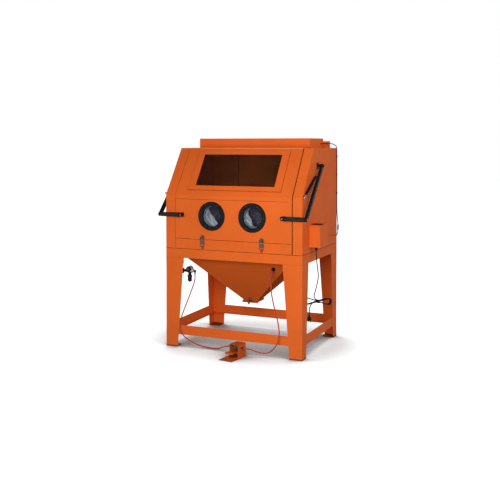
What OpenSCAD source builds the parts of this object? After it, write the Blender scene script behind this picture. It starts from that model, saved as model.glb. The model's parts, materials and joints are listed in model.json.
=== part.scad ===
// Sandblast cabinet with a lifting front, on a four-legged stand.
// Millimetres. The floor is z = 0, the front faces -Y and x = 0 is the middle of the cabinet.

/* [Cabinet] */
// Width of the cabinet and stand
cab_w = 1220; // [1100:10:1400]
// Depth of the cabinet and stand
cab_d = 910; // [860:10:1050]
// Height of the stand, up to the seam under the cabinet
stand_h = 833; // [800:1:900]
// Height of the upright front above that seam
front_h = 453; // [430:1:480]
// Height of the sloped front
slope_h = 390; // [370:1:410]
// How far the sloped front leans back
slope_run = 275; // [260:1:290]
// Thickness of the cabinet sheet
sheet = 2; // [1.5:0.1:2.5]

/* [Lifting front] */
// Width of the fixed strip on each side of the door
jamb_w = 85; // [75:1:100]
// Gap between the door and the fixed sheets around it
door_gap = 3; // [2:0.1:4]
// Height of the sill strip under the door
sill_h = 87; // [80:1:95]
// Depth of the door's turned-in edges
door_flange = 20; // [14:1:24]
// Distance of the door pivot behind the front face
pivot_back = 370; // [362:1:376]
// Height of the door pivot above the seam
pivot_up = 697; // [690:1:704]
// Thickness of the lift arm tube, outwards from the side
arm_t = 24; // [20:1:28]
// Width of the lift arm tube, seen from the side
arm_w = 26; // [24:1:30]
// Diameter of the lift grip
grip_d = 36; // [30:1:40]
// Length of the lift grip
grip_l = 165; // [150:1:180]

/* [Window and gloves] */
// Clear width of the window
win_w = 708; // [640:1:740]
// Clear height of the window along the slope
win_h = 313; // [280:1:320]
// Distance of the window opening above the bend
win_up = 93; // [85:1:100]
// Width of the window frame at the sides
win_side = 61; // [50:1:70]
// Width of the window frame above and below
win_edge = 42; // [36:1:44]
// Thickness of the window glass
glass_t = 4; // [3:0.5:6]
// Distance between the glove ports
port_pitch = 364; // [340:1:390]
// Height of the glove ports above the seam
port_up = 282; // [270:1:295]
// Outer diameter of the glove port rings
ring_d = 240; // [225:1:250]
// Clear diameter of the glove ports
port_d = 170; // [160:1:180]

/* [Stand] */
// Height of the top rails
rail_h = 78; // [70:1:90]
// Thickness of the stand's sheet
leg_t = 3; // [2.5:0.1:4]
// Width of a leg at the top, seen from the front
leg_top_w = 165; // [150:1:180]
// Width of a leg at the foot, seen from the front
leg_foot_w = 108; // [100:1:120]
// Width of a leg at the top, seen from the side
leg_top_d = 150; // [140:1:165]
// Width of a leg at the foot, seen from the side
leg_foot_d = 92; // [90:1:100]
// Height of the lower rails above the floor
low_rail_z = 107; // [95:1:120]
// Height of a lower rail
low_rail_h = 79; // [70:1:90]
// Diameter of the anchor holes in the feet
anchor_d = 14; // [11:1:16]

/* [Hopper] */
// Distance of the hopper's top edge from the cabinet side
hopper_in_x = 55; // [50:1:70]
// Distance of the hopper's top edge from the cabinet front and back
hopper_in_y = 33; // [30:1:45]
// Width of the hopper outlet
outlet_w = 130; // [115:1:145]
// Height of the hopper outlet above the floor
outlet_z = 367; // [350:1:390]
// Side of the square hopper gate
gate_w = 150; // [146:1:165]

/* [Light box] */
// Width of the light box
lamp_w = 1034; // [960:1:1060]
// Depth of the light box
lamp_d = 358; // [330:1:380]
// Height of the light box
lamp_h = 83; // [75:1:95]
// Distance of the light box behind the front face
lamp_back = 446; // [440:1:470]

/* [Control box] */
// Depth of the control box, outwards from the side
box_out = 90; // [80:1:100]
// Width of the control box along the side
box_w = 200; // [180:1:220]
// Height of the control box
box_h = 178; // [160:1:190]
// Distance of the control box behind the front face
box_back = 170; // [160:1:180]
// Height of the control box above the seam
box_up = 47; // [42:1:55]

/* [Foot pedal] */
// Width of the pedal base
pedal_w = 120; // [110:1:130]
// Length of the pedal base
pedal_l = 228; // [215:1:240]
// Height of the pedal guard
pedal_h = 110; // [104:1:120]
// Width of the pedal guard
guard_w = 84; // [78:1:90]

/* [Cords] */
// Diameter of the air hoses
hose_d = 10; // [8:1:11]
// Diameter of the power cord
cord_d = 8; // [6:1:8.4]
// Number of loops in the tied hank
hank_loops = 3.5; // [2.5:1:4.5]

/* [Hidden] */
$fn = 48;
fit = 0.3;
eps = 0.05;

hw = cab_w/2;
front_y = -cab_d/2;
back_y = cab_d/2;
kink_z = stand_h + front_h;
roof_z = kink_z + slope_h;
slope_a = atan2(slope_h, slope_run);
slope_top_y = front_y + slope_run;
band_z = stand_h - rail_h;

// Door: its pivot line, edges and the lip that meets the roof's front edge
pivot_y = front_y + pivot_back;
pivot_z = stand_h + pivot_up;
door_hw = hw - jamb_w - door_gap;
door_z = stand_h + sill_h;
roof_lead = 60;
lip_gap = 2;
roof_front_y = pivot_y - roof_lead;
lip_y = roof_front_y - lip_gap;
lip_z = roof_z + fit + sheet;
flange_drop = 85;
flange_top_z = roof_z - flange_drop;
stop_gap = 3;
stop_off = door_flange + stop_gap;
seam_drop = 36;
seam_z = kink_z - seam_drop;
seam_left = 6;
seam_right = 39;

port_x = port_pitch/2;
port_z = stand_h + port_up;
spigot_t = 3;
spigot_r = port_d/2 + spigot_t;
spigot_l = 48;

win_lap = 20;
frame_lip = 2;
frame_h = glass_t + fit + frame_lip;

// Lift arms, grips and gas struts
arm_out = 28;
arm_x = hw + arm_out;
arm_end_r = 17;
plate_t = 5;
pin_r = 7;
grip_out = 28;
grip_up = 287;
grip_y = front_y - grip_out;
grip_z = stand_h + grip_up;
grip_gap = 2;
grip_x = arm_x - grip_gap - grip_l;
grip_rod_r = 9;
strut_top = [pivot_y - 84, pivot_z - 87];
strut_low = [front_y + 20, kink_z + 6];
strut_v = strut_top - strut_low;
strut_l = norm(strut_v);
strut_a = atan2(strut_v[1], strut_v[0]);
strut_out = 12;
strut_x = hw + strut_out;
rod_r = 4;
tube_r = 11;
tube_bore_r = 6.6;
stud_r = 5;
pin_gap = 0.05;

// Latches: places on the door, pin heights and the loop's wire
latch_x = 265;
latch_w = 30;
latch_pin_r = 2.5;
lever_up = 10;
lever_z = door_z + lever_up;
lever_off = 9;
lever_y = front_y - lever_off;
lever_l = 26;
loop_up = 9;
loop_r = 1.8;
loop_gap = 0.7;
loop_x = latch_w/2 + loop_r + loop_gap;
loop_low_up = 29;
loop_low = stand_h + loop_low_up;

// Feet and lower rails
foot_w = 104;
foot_d = 88;
foot_t = 5;
anchor_in_x = 55;
anchor_in_y = 50;
low_flange = 30;
low_end = 35;

// Hopper, its short neck, the gate below and the turn button in front
hop_hw = hw - hopper_in_x;
hop_hd = back_y - hopper_in_y;
out_h = outlet_w/2;
hopper_t = 2.8;
hop_a = atan2(hop_hd - out_h, stand_h - outlet_z);
rim_t = 2;
neck_h = 10;
neck_t = 4;
neck_r = out_h + neck_t;
neck_z = outlet_z - neck_h;
gate_t = 4;
gate_pin_r = 4;
gate_pin_back = 9;
gate_pin_y = neck_r + gate_pin_back;
gate_pin_drop = 5;
gate_pin_z = neck_z - gate_pin_drop;
button_out = 25;
button_y = -neck_r - button_out;
button_up = 15;
button_z = outlet_z + button_up;

// Work grate
grate_up = 42;
grate_z = stand_h + grate_up;
grate_t = 3;
ledge_w = 28;
ledge_t = 3;

// Light box
lamp_y = front_y + lamp_back;
lens_w = 960;
lens_d = 150;
lens_in = 60;
lens_y = lamp_y + lens_in;

// Control box: its rocker switch and the cord gland under it
box_y = front_y + box_back;
box_z = stand_h + box_up;
box_top = box_z + box_h;
switch_x = hw + box_out/2;
switch_in = 70;
switch_y = box_y + switch_in;
switch_l = 58;
switch_w = 26;
switch_pin_r = 1.6;
switch_pin_up = 3;
bezel_w = 9;
bezel_h = 6;
gland_in = 40;
gland_r = 8;
gland_p = [switch_x, box_y + gland_in, box_z];
gland_l = 27;

// Regulator beside the front left leg: port height, knob above it and the hose elbow
function leg_w_at(z) = leg_foot_w + (leg_top_w - leg_foot_w)*z/band_z;
reg_drop = 189;
reg_z = stand_h - reg_drop;
leg_edge = leg_w_at(reg_z) - hw;
reg_in = 46;
reg_x = leg_edge + reg_in;
reg_back = 42;
reg_y = front_y + reg_back;
reg_r = 23;
knob_up = 16;
knob_z = reg_z + knob_up;
knob_out = 15;
knob_y = reg_y - knob_out - fit;
knob_r = 22;
knob_l = 20;
knob_stem_r = 6;
bowl_drop = 36;
bowl_r = 18;
bowl_l = 51;
port_r = 8;
elbow_out = 49;
reg_out_x = reg_x + elbow_out;
elbow_l = 24;
inlet_l = 42;

// Foot pedal: place, turn and the treadle's pin
pedal_x = 71;
pedal_fore = 127;
pedal_at = [pedal_x, front_y - pedal_fore, 0];
pedal_turn = -9.6;
base_t = 4;
guard_t = 2.5;
guard_x = -30;
guard_y = -8;
guard_d = 110;
treadle_pin_in = 16;
treadle_pin_y = guard_y + guard_d - treadle_pin_in;
treadle_pin_z = 40;
treadle_pin_r = 4;
valve_z = 78;
valve_in = 50;
barb_out = 14;
barb_r = 8;

// Extraction spigot on the back
exhaust_in = 230;
exhaust_x = hw - exhaust_in;
exhaust_drop = 203;
exhaust_z = roof_z - exhaust_drop;
exhaust_r = 50;
exhaust_l = 60;

// Hose fitting on the hopper's front wall
bulk_x = 312;
bulk_drop = 142;
bulk_z = stand_h - bulk_drop;
bulk_y = -out_h - (bulk_z - outlet_z)*tan(hop_a) - hopper_t;
bulk_l = 34;

// Power cord: the hank's place, its direction in plan and its half sizes
hank_at = [hw + 50, front_y + 233, 437];
hank_turn = 50;
hank_half = 125;
hank_waist = 5.5;
hank_bulge = 55;
hank_step = 9;
hank_droop = -6;

paint = "#e06a28";
dark = "#2a2a2c";
zinc = "#b9bcc0";
red = "#c0392b";
grey = "#6c7684";

// Shared shapes

module both_sides() {
  children();
  mirror([1, 0, 0]) children();
}

// A profile drawn in (y, z), drawn out along X
module along_x(x0, x1) {
  translate([x0, 0, 0]) rotate([90, 0, 90]) linear_extrude(x1 - x0) children();
}

module block(low, high) {
  translate(low) cube(high - low);
}

// Frame of the sloped front: x across, y up the slope, z outwards
module on_slope() {
  translate([0, front_y, kink_z]) rotate([slope_a, 0, 0]) children();
}

// Frame of the upright front: x across, y up, z outwards
module on_front() {
  translate([0, front_y, 0]) rotate([90, 0, 0]) children();
}

function slope_y(z) = front_y + (z - kink_z)/tan(slope_a);
function kink_in(t) = [front_y + t, kink_z + t*(sin(slope_a) - 1)/cos(slope_a)];
function slope_in(z, t) = [slope_y(z) + t/sin(slope_a), z];

// The bent line of the front between two depths behind its face, from z0 up to z1
module bent_strip(t0, t1, z0, z1) {
  polygon([[front_y + t0, z0], kink_in(t0), slope_in(z1, t0), slope_in(z1, t1), kink_in(t1),
    [front_y + t1, z0]]);
}

// Swept tubes: a smooth curve through points, carried along without twist
function unit(v) = v/norm(v);
function spline(p, i, t) =
  let (a = p[max(i - 1, 0)], b = p[i], c = p[i + 1], d = p[min(i + 2, len(p) - 1)])
  0.5*(2*b + (c - a)*t + (2*a - 5*b + 4*c - d)*t*t + (3*b - a - 3*c + d)*t*t*t);
function smooth(p, steps) =
  concat([for (i = [0:len(p) - 2]) for (j = [0:steps - 1]) spline(p, i, j/steps)], [p[len(p) - 1]]);
function heading(p, i) = unit(p[min(i + 1, len(p) - 1)] - p[max(i - 1, 0)]);
function carried(p, i, n) =
  let (t = heading(p, i), m = unit(n - (n*t)*t))
  i == len(p) - 1 ? [m] : concat([m], carried(p, i + 1, m));
function total_length(p) = [for (i = [0:len(p) - 2]) norm(p[i + 1] - p[i])]*[for (i = [0:len(p) - 2]) 1];

function ring_points(p, side, r, sides) = [
  for (i = [0:len(p) - 1])
    let (t = heading(p, i), n = side[i], b = cross(t, n))
    for (k = [0:sides - 1]) p[i] + r[i]*(cos(360*k/sides)*n + sin(360*k/sides)*b)
];
function wall_faces(rings, sides, base, flip) = [
  for (i = [0:rings - 2]) for (k = [0:sides - 1])
    let (a = base + i*sides + k, b = base + i*sides + (k + 1) % sides)
    each flip ? [[a, a + sides, b], [b, a + sides, b + sides]]
      : [[a, b, a + sides], [b, b + sides, a + sides]]
];
function fan(sides, base, flip) = [
  for (k = [1:sides - 2]) flip ? [base, base + k + 1, base + k] : [base, base + k, base + k + 1]
];

// Solid tube of radius r along the points p
module swept(p, r, sides) {
  side = carried(p, 0, unit(cross(heading(p, 0), [0.31, 0.17, 0.93])));
  rs = [for (q = p) r];
  polyhedron(ring_points(p, side, rs, sides),
    concat(wall_faces(len(p), sides, 0, true), fan(sides, 0, false), fan(sides, (len(p) - 1)*sides, true)));
}

// Stand

// One tapered angle leg with its foot plate, at the front right corner
module leg() {
  tab = 50;
  tab_z = band_z - tab;
  top_z = stand_h - leg_t;
  through = 1;
  color(paint) difference() {
    union() {
      translate([0, front_y + leg_t, 0]) rotate([90, 0, 0]) linear_extrude(leg_t)
        polygon([[hw, 0], [hw, band_z], [hw - leg_top_w, band_z], [hw - leg_foot_w, 0]]);
      along_x(hw - leg_t, hw)
        translate([front_y, 0]) polygon([[0, 0], [0, band_z], [leg_top_d, band_z], [leg_foot_d, 0]]);
      block([hw - leg_top_w, front_y + leg_t, tab_z], [hw - leg_t, front_y + 2*leg_t, top_z]);
      block([hw - 2*leg_t, front_y + leg_t, tab_z], [hw - leg_t, front_y + leg_top_d, top_z]);
      block([hw - foot_w, front_y, 0], [hw, front_y + foot_d, foot_t]);
    }
    translate([hw - anchor_in_x, front_y + anchor_in_y, -through])
      cylinder(d = anchor_d, h = foot_t + 2*through);
  }
}

module leg_front_right() leg();
module leg_front_left() mirror([1, 0, 0]) leg();
module leg_rear_right() mirror([0, 1, 0]) leg();
module leg_rear_left() mirror([1, 0, 0]) mirror([0, 1, 0]) leg();

module front_and_back() {
  children();
  mirror([0, 1, 0]) children();
}

// Angle rails round the top; the hopper rim and the cabinet sit on their flanges
module top_rails() {
  hopper_room = 5;
  flange_x = hopper_in_x - hopper_room;
  flange_y = hopper_in_y - hopper_room;
  color(paint) {
    front_and_back() {
      block([-hw, front_y, band_z], [hw, front_y + leg_t, stand_h]);
      block([-hw, front_y, stand_h - leg_t], [hw, front_y + flange_y, stand_h]);
    }
    both_sides() {
      block([hw - leg_t, front_y + leg_t, band_z], [hw, back_y - leg_t, stand_h - leg_t]);
      block([hw - flange_x, front_y + flange_y, stand_h - leg_t], [hw, back_y - flange_y, stand_h]);
    }
  }
}

// Angle rails near the floor, bolted behind the leg flanges
module lower_rails() {
  end_gap = 4;
  z1 = low_rail_z + low_rail_h;
  end_x = hw - leg_t - end_gap;
  end_y = back_y - low_end;
  color(paint) {
    front_and_back() {
      block([-end_x, front_y + leg_t, low_rail_z], [end_x, front_y + 2*leg_t, z1]);
      block([-end_x, front_y + leg_t, low_rail_z], [end_x, front_y + low_flange, low_rail_z + leg_t]);
    }
    both_sides() {
      block([hw - 2*leg_t, -end_y, low_rail_z], [hw - leg_t, end_y, z1]);
      block([hw - low_flange, -end_y, low_rail_z], [hw - leg_t, end_y, low_rail_z + leg_t]);
    }
  }
}

// Cabinet

module side_sheet() {
  color(paint) along_x(hw - sheet, hw) polygon([
    [front_y, stand_h], [front_y, kink_z], [slope_top_y, roof_z], [back_y, roof_z], [back_y, stand_h]
  ]);
}
module side_right() side_sheet();
module side_left() mirror([1, 0, 0]) side_sheet();

module back_panel() {
  through = 1;
  color(paint) difference() {
    block([-hw + sheet, back_y - sheet, stand_h], [hw - sheet, back_y, roof_z]);
    translate([exhaust_x, back_y + through, exhaust_z]) rotate([90, 0, 0])
      cylinder(r = exhaust_r + sheet + fit, h = sheet + 2*through);
  }
}

// Roof with ears beside the door, the lamp's opening and a stiffening hem along the front edge
module roof_panel() {
  hem = 25;
  through = 1;
  x1 = hw - sheet;
  x0 = hw - jamb_w;
  ear_y = slope_in(roof_z, sheet)[0];
  y1 = back_y - sheet;
  color(paint) {
    difference() {
      translate([0, 0, roof_z - sheet]) linear_extrude(sheet) polygon([
        [-x1, ear_y], [-x0, ear_y], [-x0, roof_front_y], [x0, roof_front_y], [x0, ear_y], [x1, ear_y],
        [x1, y1], [-x1, y1]
      ]);
      block([-lens_w/2, lens_y, roof_z - sheet - through], [lens_w/2, lens_y + lens_d, roof_z + through]);
    }
    block([-x0, roof_front_y, roof_z - hem], [x0, roof_front_y + sheet, roof_z - sheet]);
  }
}

// Fixed front strip beside the door, with its return and the stop that the door closes on
module jamb() {
  stop_w = 18;
  stop_up = 6;
  x0 = hw - jamb_w;
  color(paint) {
    along_x(x0, hw - sheet) bent_strip(0, sheet, stand_h, roof_z);
    along_x(x0, x0 + sheet) bent_strip(sheet, stop_off + sheet, stand_h, flange_top_z);
    along_x(x0 - stop_w, x0) bent_strip(stop_off, stop_off + sheet, door_z + stop_up, flange_top_z);
  }
}
module jamb_right() jamb();
module jamb_left() mirror([1, 0, 0]) jamb();

module sill_panel() {
  top_flange = 26;
  low_edge = 16;
  z1 = door_z - door_gap;
  color(paint) {
    block([-door_hw, front_y, stand_h], [door_hw, front_y + sheet, z1]);
    block([-door_hw, front_y + sheet, z1 - sheet], [door_hw, front_y + top_flange, z1]);
    block([-door_hw, front_y + sheet, stand_h], [door_hw, front_y + low_edge, stand_h + sheet]);
  }
}

// Hopper

function rect(x, y, z) = [[-x, -y, z], [x, -y, z], [x, y, z], [-x, y, z]];

// Four-sided hopper wall; its rim lies on the top rails
module hopper() {
  rim_gap = 2;
  rim_front = 6;
  through = 1;
  o = out_h + hopper_t;
  inner = concat(rect(out_h, out_h, outlet_z), rect(hop_hw, hop_hd, stand_h));
  outer = concat(rect(o, o, outlet_z), rect(hop_hw + hopper_t, hop_hd + hopper_t, stand_h));
  side = [0, 1, 2, 3];
  color(paint) {
    polyhedron(concat(inner, outer), concat(
      [for (k = side) let (m = (k + 1) % 4) [k, m, m + 4, k + 4]],
      [for (k = side) let (m = (k + 1) % 4) [k + 8, k + 12, m + 12, m + 8]],
      [for (k = side) let (m = (k + 1) % 4) [k + 8, m + 8, m, k]],
      [for (k = side) let (m = (k + 1) % 4) [k + 4, m + 4, m + 12, k + 12]]));
    difference() {
      block([-hw + sheet + rim_gap, front_y + stop_off + rim_front, stand_h],
        [hw - sheet - rim_gap, back_y - sheet - rim_gap, stand_h + rim_t]);
      block([-hop_hw, -hop_hd, stand_h - through], [hop_hw, hop_hd, stand_h + rim_t + through]);
    }
  }
}

// Square neck welded under the outlet: hinge ears for the gate behind, the turn button's block in front
module hopper_collar() {
  ear_in = 30;
  ear_t = 6;
  ear_r = 8.5;
  ear_up = 12;
  weld = 1;
  block_w = 28;
  block_up = 26;
  wall_y = -out_h - hopper_t - block_up*tan(hop_a) - fit;
  color(paint) difference() {
    union() {
      block([-neck_r, -neck_r, neck_z], [neck_r, neck_r, outlet_z]);
      both_sides() {
        translate([ear_in, gate_pin_y, gate_pin_z]) rotate([0, 90, 0]) cylinder(r = ear_r, h = ear_t);
        block([ear_in, neck_r - weld, gate_pin_z],
          [ear_in + ear_t, gate_pin_y + ear_r, gate_pin_z + ear_up]);
      }
      along_x(-block_w/2, block_w/2) polygon([
        [-neck_r + weld, neck_z + weld], [-neck_r + weld, outlet_z - fit], [wall_y, outlet_z + block_up],
        [button_y, outlet_z + block_up], [button_y, outlet_z]
      ]);
    }
    block([-out_h, -out_h, neck_z - weld], [out_h, out_h, outlet_z + weld]);
    block([-neck_r, 0, neck_z - gate_pin_back], [neck_r, neck_r + fit, neck_z]);
    translate([-neck_r, gate_pin_y, gate_pin_z]) rotate([0, 90, 0])
      cylinder(r = gate_pin_r + pin_gap, h = 2*neck_r);
  }
}

// Clean-out gate: a plate with a stiffened front edge, a pull tab, its hinge barrel and the pin in the ears
module hopper_gate() {
  barrel_r = 7;
  barrel_l = 58;
  pin_l = 80;
  edge_h = 10;
  tab_w = 40;
  tab_out = 15;
  leaf_in = 2;
  leaf_drop = 0.5;
  z1 = neck_z - fit;
  h = gate_w/2;
  color(paint) {
    block([-h, -h, z1 - gate_t], [h, neck_r, z1]);
    block([-h, -h, z1 - gate_t - edge_h], [h, -h + gate_t, z1 - gate_t]);
    block([-tab_w/2, -h - tab_out, z1 - gate_t], [tab_w/2, -h, z1]);
    block([-barrel_l/2, neck_r - leaf_in, z1 - gate_t], [barrel_l/2, gate_pin_y, z1 - leaf_drop]);
    translate([0, gate_pin_y, gate_pin_z]) rotate([0, 90, 0]) {
      translate([0, 0, -barrel_l/2]) cylinder(r = barrel_r, h = barrel_l);
      translate([0, 0, -pin_l/2]) cylinder(r = gate_pin_r, h = pin_l);
    }
  }
}

// Turn button on its block, hanging in front of the gate's tab
module gate_latch() {
  hub_r = 9;
  hub_l = 12;
  bar_w = 14;
  bar_t = 6;
  bar_l = 42;
  fin_w = 6;
  fin_out = 8;
  fin_l = 26;
  tip_z = button_z - bar_l;
  color(dark) translate([0, button_y - fit, 0]) {
    translate([0, 0, button_z]) rotate([90, 0, 0]) cylinder(r = hub_r, h = hub_l);
    block([-bar_w/2, -hub_l, tip_z], [bar_w/2, -hub_l + bar_t, button_z]);
    translate([0, -hub_l + bar_t, tip_z]) rotate([90, 0, 0]) cylinder(r = bar_w/2, h = bar_t);
    block([-fin_w/2, -hub_l - fin_out, tip_z], [fin_w/2, -hub_l + bar_t, tip_z + fin_l]);
  }
}

// Bulkhead fitting for the blast hose, square to the hopper's front wall
module at_bulkhead() {
  translate([bulk_x, bulk_y, bulk_z]) rotate([90 + hop_a, 0, 0]) children();
}
module hose_bulkhead() {
  nut_r = 17;
  nut_h = 6;
  body_r = 11;
  body_l = 20;
  color(dark) at_bulkhead() translate([0, 0, fit]) {
    cylinder(r = nut_r, h = nut_h, $fn = 6);
    cylinder(r = body_r, h = body_l);
    cylinder(r = barb_r, h = bulk_l);
  }
}

// Inside the cabinet

module work_grate() {
  pitch = 62;
  hole = 48;
  edge_gap = 6;
  border = 20;
  through = 1;
  x1 = hop_hw - edge_gap;
  y1 = hop_hd - edge_gap;
  nx = floor((x1 - border)/pitch);
  ny = floor((y1 - border)/pitch);
  color(zinc) difference() {
    block([-x1, -y1, grate_z], [x1, y1, grate_z + grate_t]);
    for (i = [-nx:nx]) for (j = [-ny:ny])
      block([i*pitch - hole/2, j*pitch - hole/2, grate_z - through],
        [i*pitch + hole/2, j*pitch + hole/2, grate_z + grate_t + through]);
  }
}

// Angle ledges on the side walls that carry the grate
module grate_ledges() {
  leg_h = 30;
  x1 = hw - sheet;
  x0 = hop_hw - ledge_w;
  color(paint) both_sides() {
    block([x0, -hop_hd, grate_z - ledge_t], [x1, hop_hd, grate_z]);
    block([x1 - ledge_t, -hop_hd, grate_z - leg_h], [x1, hop_hd, grate_z - ledge_t]);
  }
}

// Blast gun lying on the grate: body, cone, bored nozzle, handle and hose stub
module blast_gun() {
  gun_at = [60, -40];
  gun_turn = 35;
  body_r = 19;
  body_l = 74;
  cone_l = 44;
  nozzle_r = 8;
  nozzle_l = 30;
  bore_r = 4;
  bore_floor = 1;
  handle_r = 13;
  handle_l = 96;
  handle_at = 22;
  handle_lean = 18;
  stub_r = 9;
  stub_l = 26;
  color(zinc) translate([gun_at[0], gun_at[1], grate_z + grate_t + body_r + fit]) rotate([0, 0, gun_turn]) {
    rotate([0, 90, 0]) cylinder(r = body_r, h = body_l);
    translate([body_l, 0, 0]) rotate([0, 90, 0]) cylinder(r1 = body_r - 4, r2 = nozzle_r + 2, h = cone_l);
    translate([body_l + cone_l, 0, 0]) rotate([0, 90, 0]) difference() {
      cylinder(r = nozzle_r, h = nozzle_l);
      translate([0, 0, bore_floor]) cylinder(r = bore_r, h = nozzle_l);
    }
    translate([handle_at, 0, 0]) rotate([90, 0, -handle_lean]) cylinder(r = handle_r, h = handle_l);
    translate([-stub_l, 0, 0]) rotate([0, 90, 0]) cylinder(r = stub_r, h = stub_l);
  }
}

// Light box on the roof

module lamp_housing() {
  open = 1;
  w = lamp_w/2;
  color(paint) difference() {
    block([-w, lamp_y, roof_z], [w, lamp_y + lamp_d, roof_z + lamp_h]);
    block([-w + sheet, lamp_y + sheet, roof_z - open],
      [w - sheet, lamp_y + lamp_d - sheet, roof_z + lamp_h - sheet]);
  }
}

// Two fluorescent tubes with their end holders on the roof sheet
module lamp_tubes() {
  bulb_r = 13;
  bulb_up = 38;
  bulb_off = 36;
  holder = 12;
  holder_over = 16;
  y0 = lens_y + lens_d/2;
  z0 = roof_z + bulb_up;
  half = lens_w/2 + holder;
  for (s = [-1, 1]) translate([0, y0 + s*bulb_off, 0]) {
    color("#f4f6f4") translate([-half, 0, z0]) rotate([0, 90, 0]) cylinder(r = bulb_r, h = 2*half);
    color("#d8d8d4") both_sides() block([half, -holder, roof_z], [half + holder, holder, z0 + holder_over]);
  }
}

module lamp_lens() {
  lap = 12;
  thick = 4;
  color("#e8eef0") block([-lens_w/2 - lap, lens_y - lap, roof_z - sheet - thick],
    [lens_w/2 + lap, lens_y + lens_d + lap, roof_z - sheet]);
}

// Small vent box behind the light box, open at the back
module vent_box() {
  vent_in = 58;
  vent_w = 260;
  vent_h = 60;
  lamp_gap = 6;
  back_in = 14;
  open = 1;
  x1 = hw - vent_in;
  x0 = x1 - vent_w;
  y0 = lamp_y + lamp_d + lamp_gap;
  y1 = back_y - back_in;
  z1 = roof_z + vent_h;
  color(paint) difference() {
    block([x0, y0, roof_z], [x1, y1, z1]);
    block([x0 + sheet, y0 + sheet, roof_z - open], [x1 - sheet, y1 + open, z1 - sheet]);
  }
}

// Round spigot for an extraction hose, with its flange on the back sheet
module exhaust_spigot() {
  flange_w = 20;
  through = 1;
  color(paint) translate([exhaust_x, back_y + exhaust_l, exhaust_z]) rotate([90, 0, 0]) difference() {
    union() {
      cylinder(r = exhaust_r + sheet, h = exhaust_l + sheet);
      translate([0, 0, exhaust_l - sheet]) cylinder(r = exhaust_r + flange_w, h = sheet);
    }
    translate([0, 0, -through]) cylinder(r = exhaust_r, h = exhaust_l + sheet + 2*through);
  }
}

// Electrics

module control_box() {
  through = 1;
  x1 = hw + box_out;
  y1 = box_y + box_w;
  hole = [switch_l/2, switch_w/2];
  rim = [switch_l/2 + bezel_w, switch_w/2 + bezel_w];
  color(paint) difference() {
    block([hw, box_y, box_z], [x1, y1, box_top]);
    block([hw + sheet, box_y + sheet, box_z + sheet], [x1 - sheet, y1 - sheet, box_top - sheet]);
    block([switch_x - hole[0], switch_y - hole[1], box_top - sheet - through],
      [switch_x + hole[0], switch_y + hole[1], box_top + through]);
    translate([gland_p[0], gland_p[1], box_z - through]) cylinder(r = gland_r + fit, h = sheet + 2*through);
  }
  color(dark) difference() {
    block([switch_x - rim[0], switch_y - rim[1], box_top],
      [switch_x + rim[0], switch_y + rim[1], box_top + bezel_h]);
    block([switch_x - hole[0], switch_y - hole[1], box_top - through],
      [switch_x + hole[0], switch_y + hole[1], box_top + bezel_h + through]);
    translate([switch_x, switch_y + rim[1], box_top + switch_pin_up]) rotate([90, 0, 0])
      cylinder(r = switch_pin_r + pin_gap, h = 2*rim[1]);
  }
}

// Rocker that tips on its pin in the bezel, with one end raised
module power_switch() {
  end_gap = 2.5;
  side_gap = 0.6;
  pin_in = 4;
  belly = 11;
  low_end = 3;
  high_end = 5;
  root = 5;
  l = switch_l/2 - end_gap;
  w = switch_w/2 - side_gap;
  pin_half = switch_w/2 + pin_in;
  color(dark) translate([switch_x, switch_y, box_top + switch_pin_up]) rotate([90, 0, 0]) {
    translate([0, 0, -w]) linear_extrude(2*w)
      polygon([[-l, -root], [-l, low_end], [0, 1], [l, high_end], [l, -root], [0, -belly]]);
    translate([0, 0, -pin_half]) cylinder(r = switch_pin_r, h = 2*pin_half);
  }
}

// Gland: threaded stub in the box, hexagon nut and the tapered strain relief
module cord_gland() {
  nut_r = 14;
  nut_h = 8;
  stub_l = 12;
  relief_r = 11;
  relief_wall = 3;
  through = 1;
  relief_l = gland_l - nut_h;
  color(dark) translate(gland_p) {
    translate([0, 0, -gland_l]) difference() {
      cylinder(r1 = cord_d/2 + relief_wall, r2 = relief_r, h = relief_l);
      translate([0, 0, -through]) cylinder(r = cord_d/2 + fit, h = relief_l + 2*through);
    }
    translate([0, 0, -nut_h]) cylinder(r = nut_r, h = nut_h, $fn = 6);
    cylinder(r = gland_r, h = stub_l);
  }
}

// Air

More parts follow.
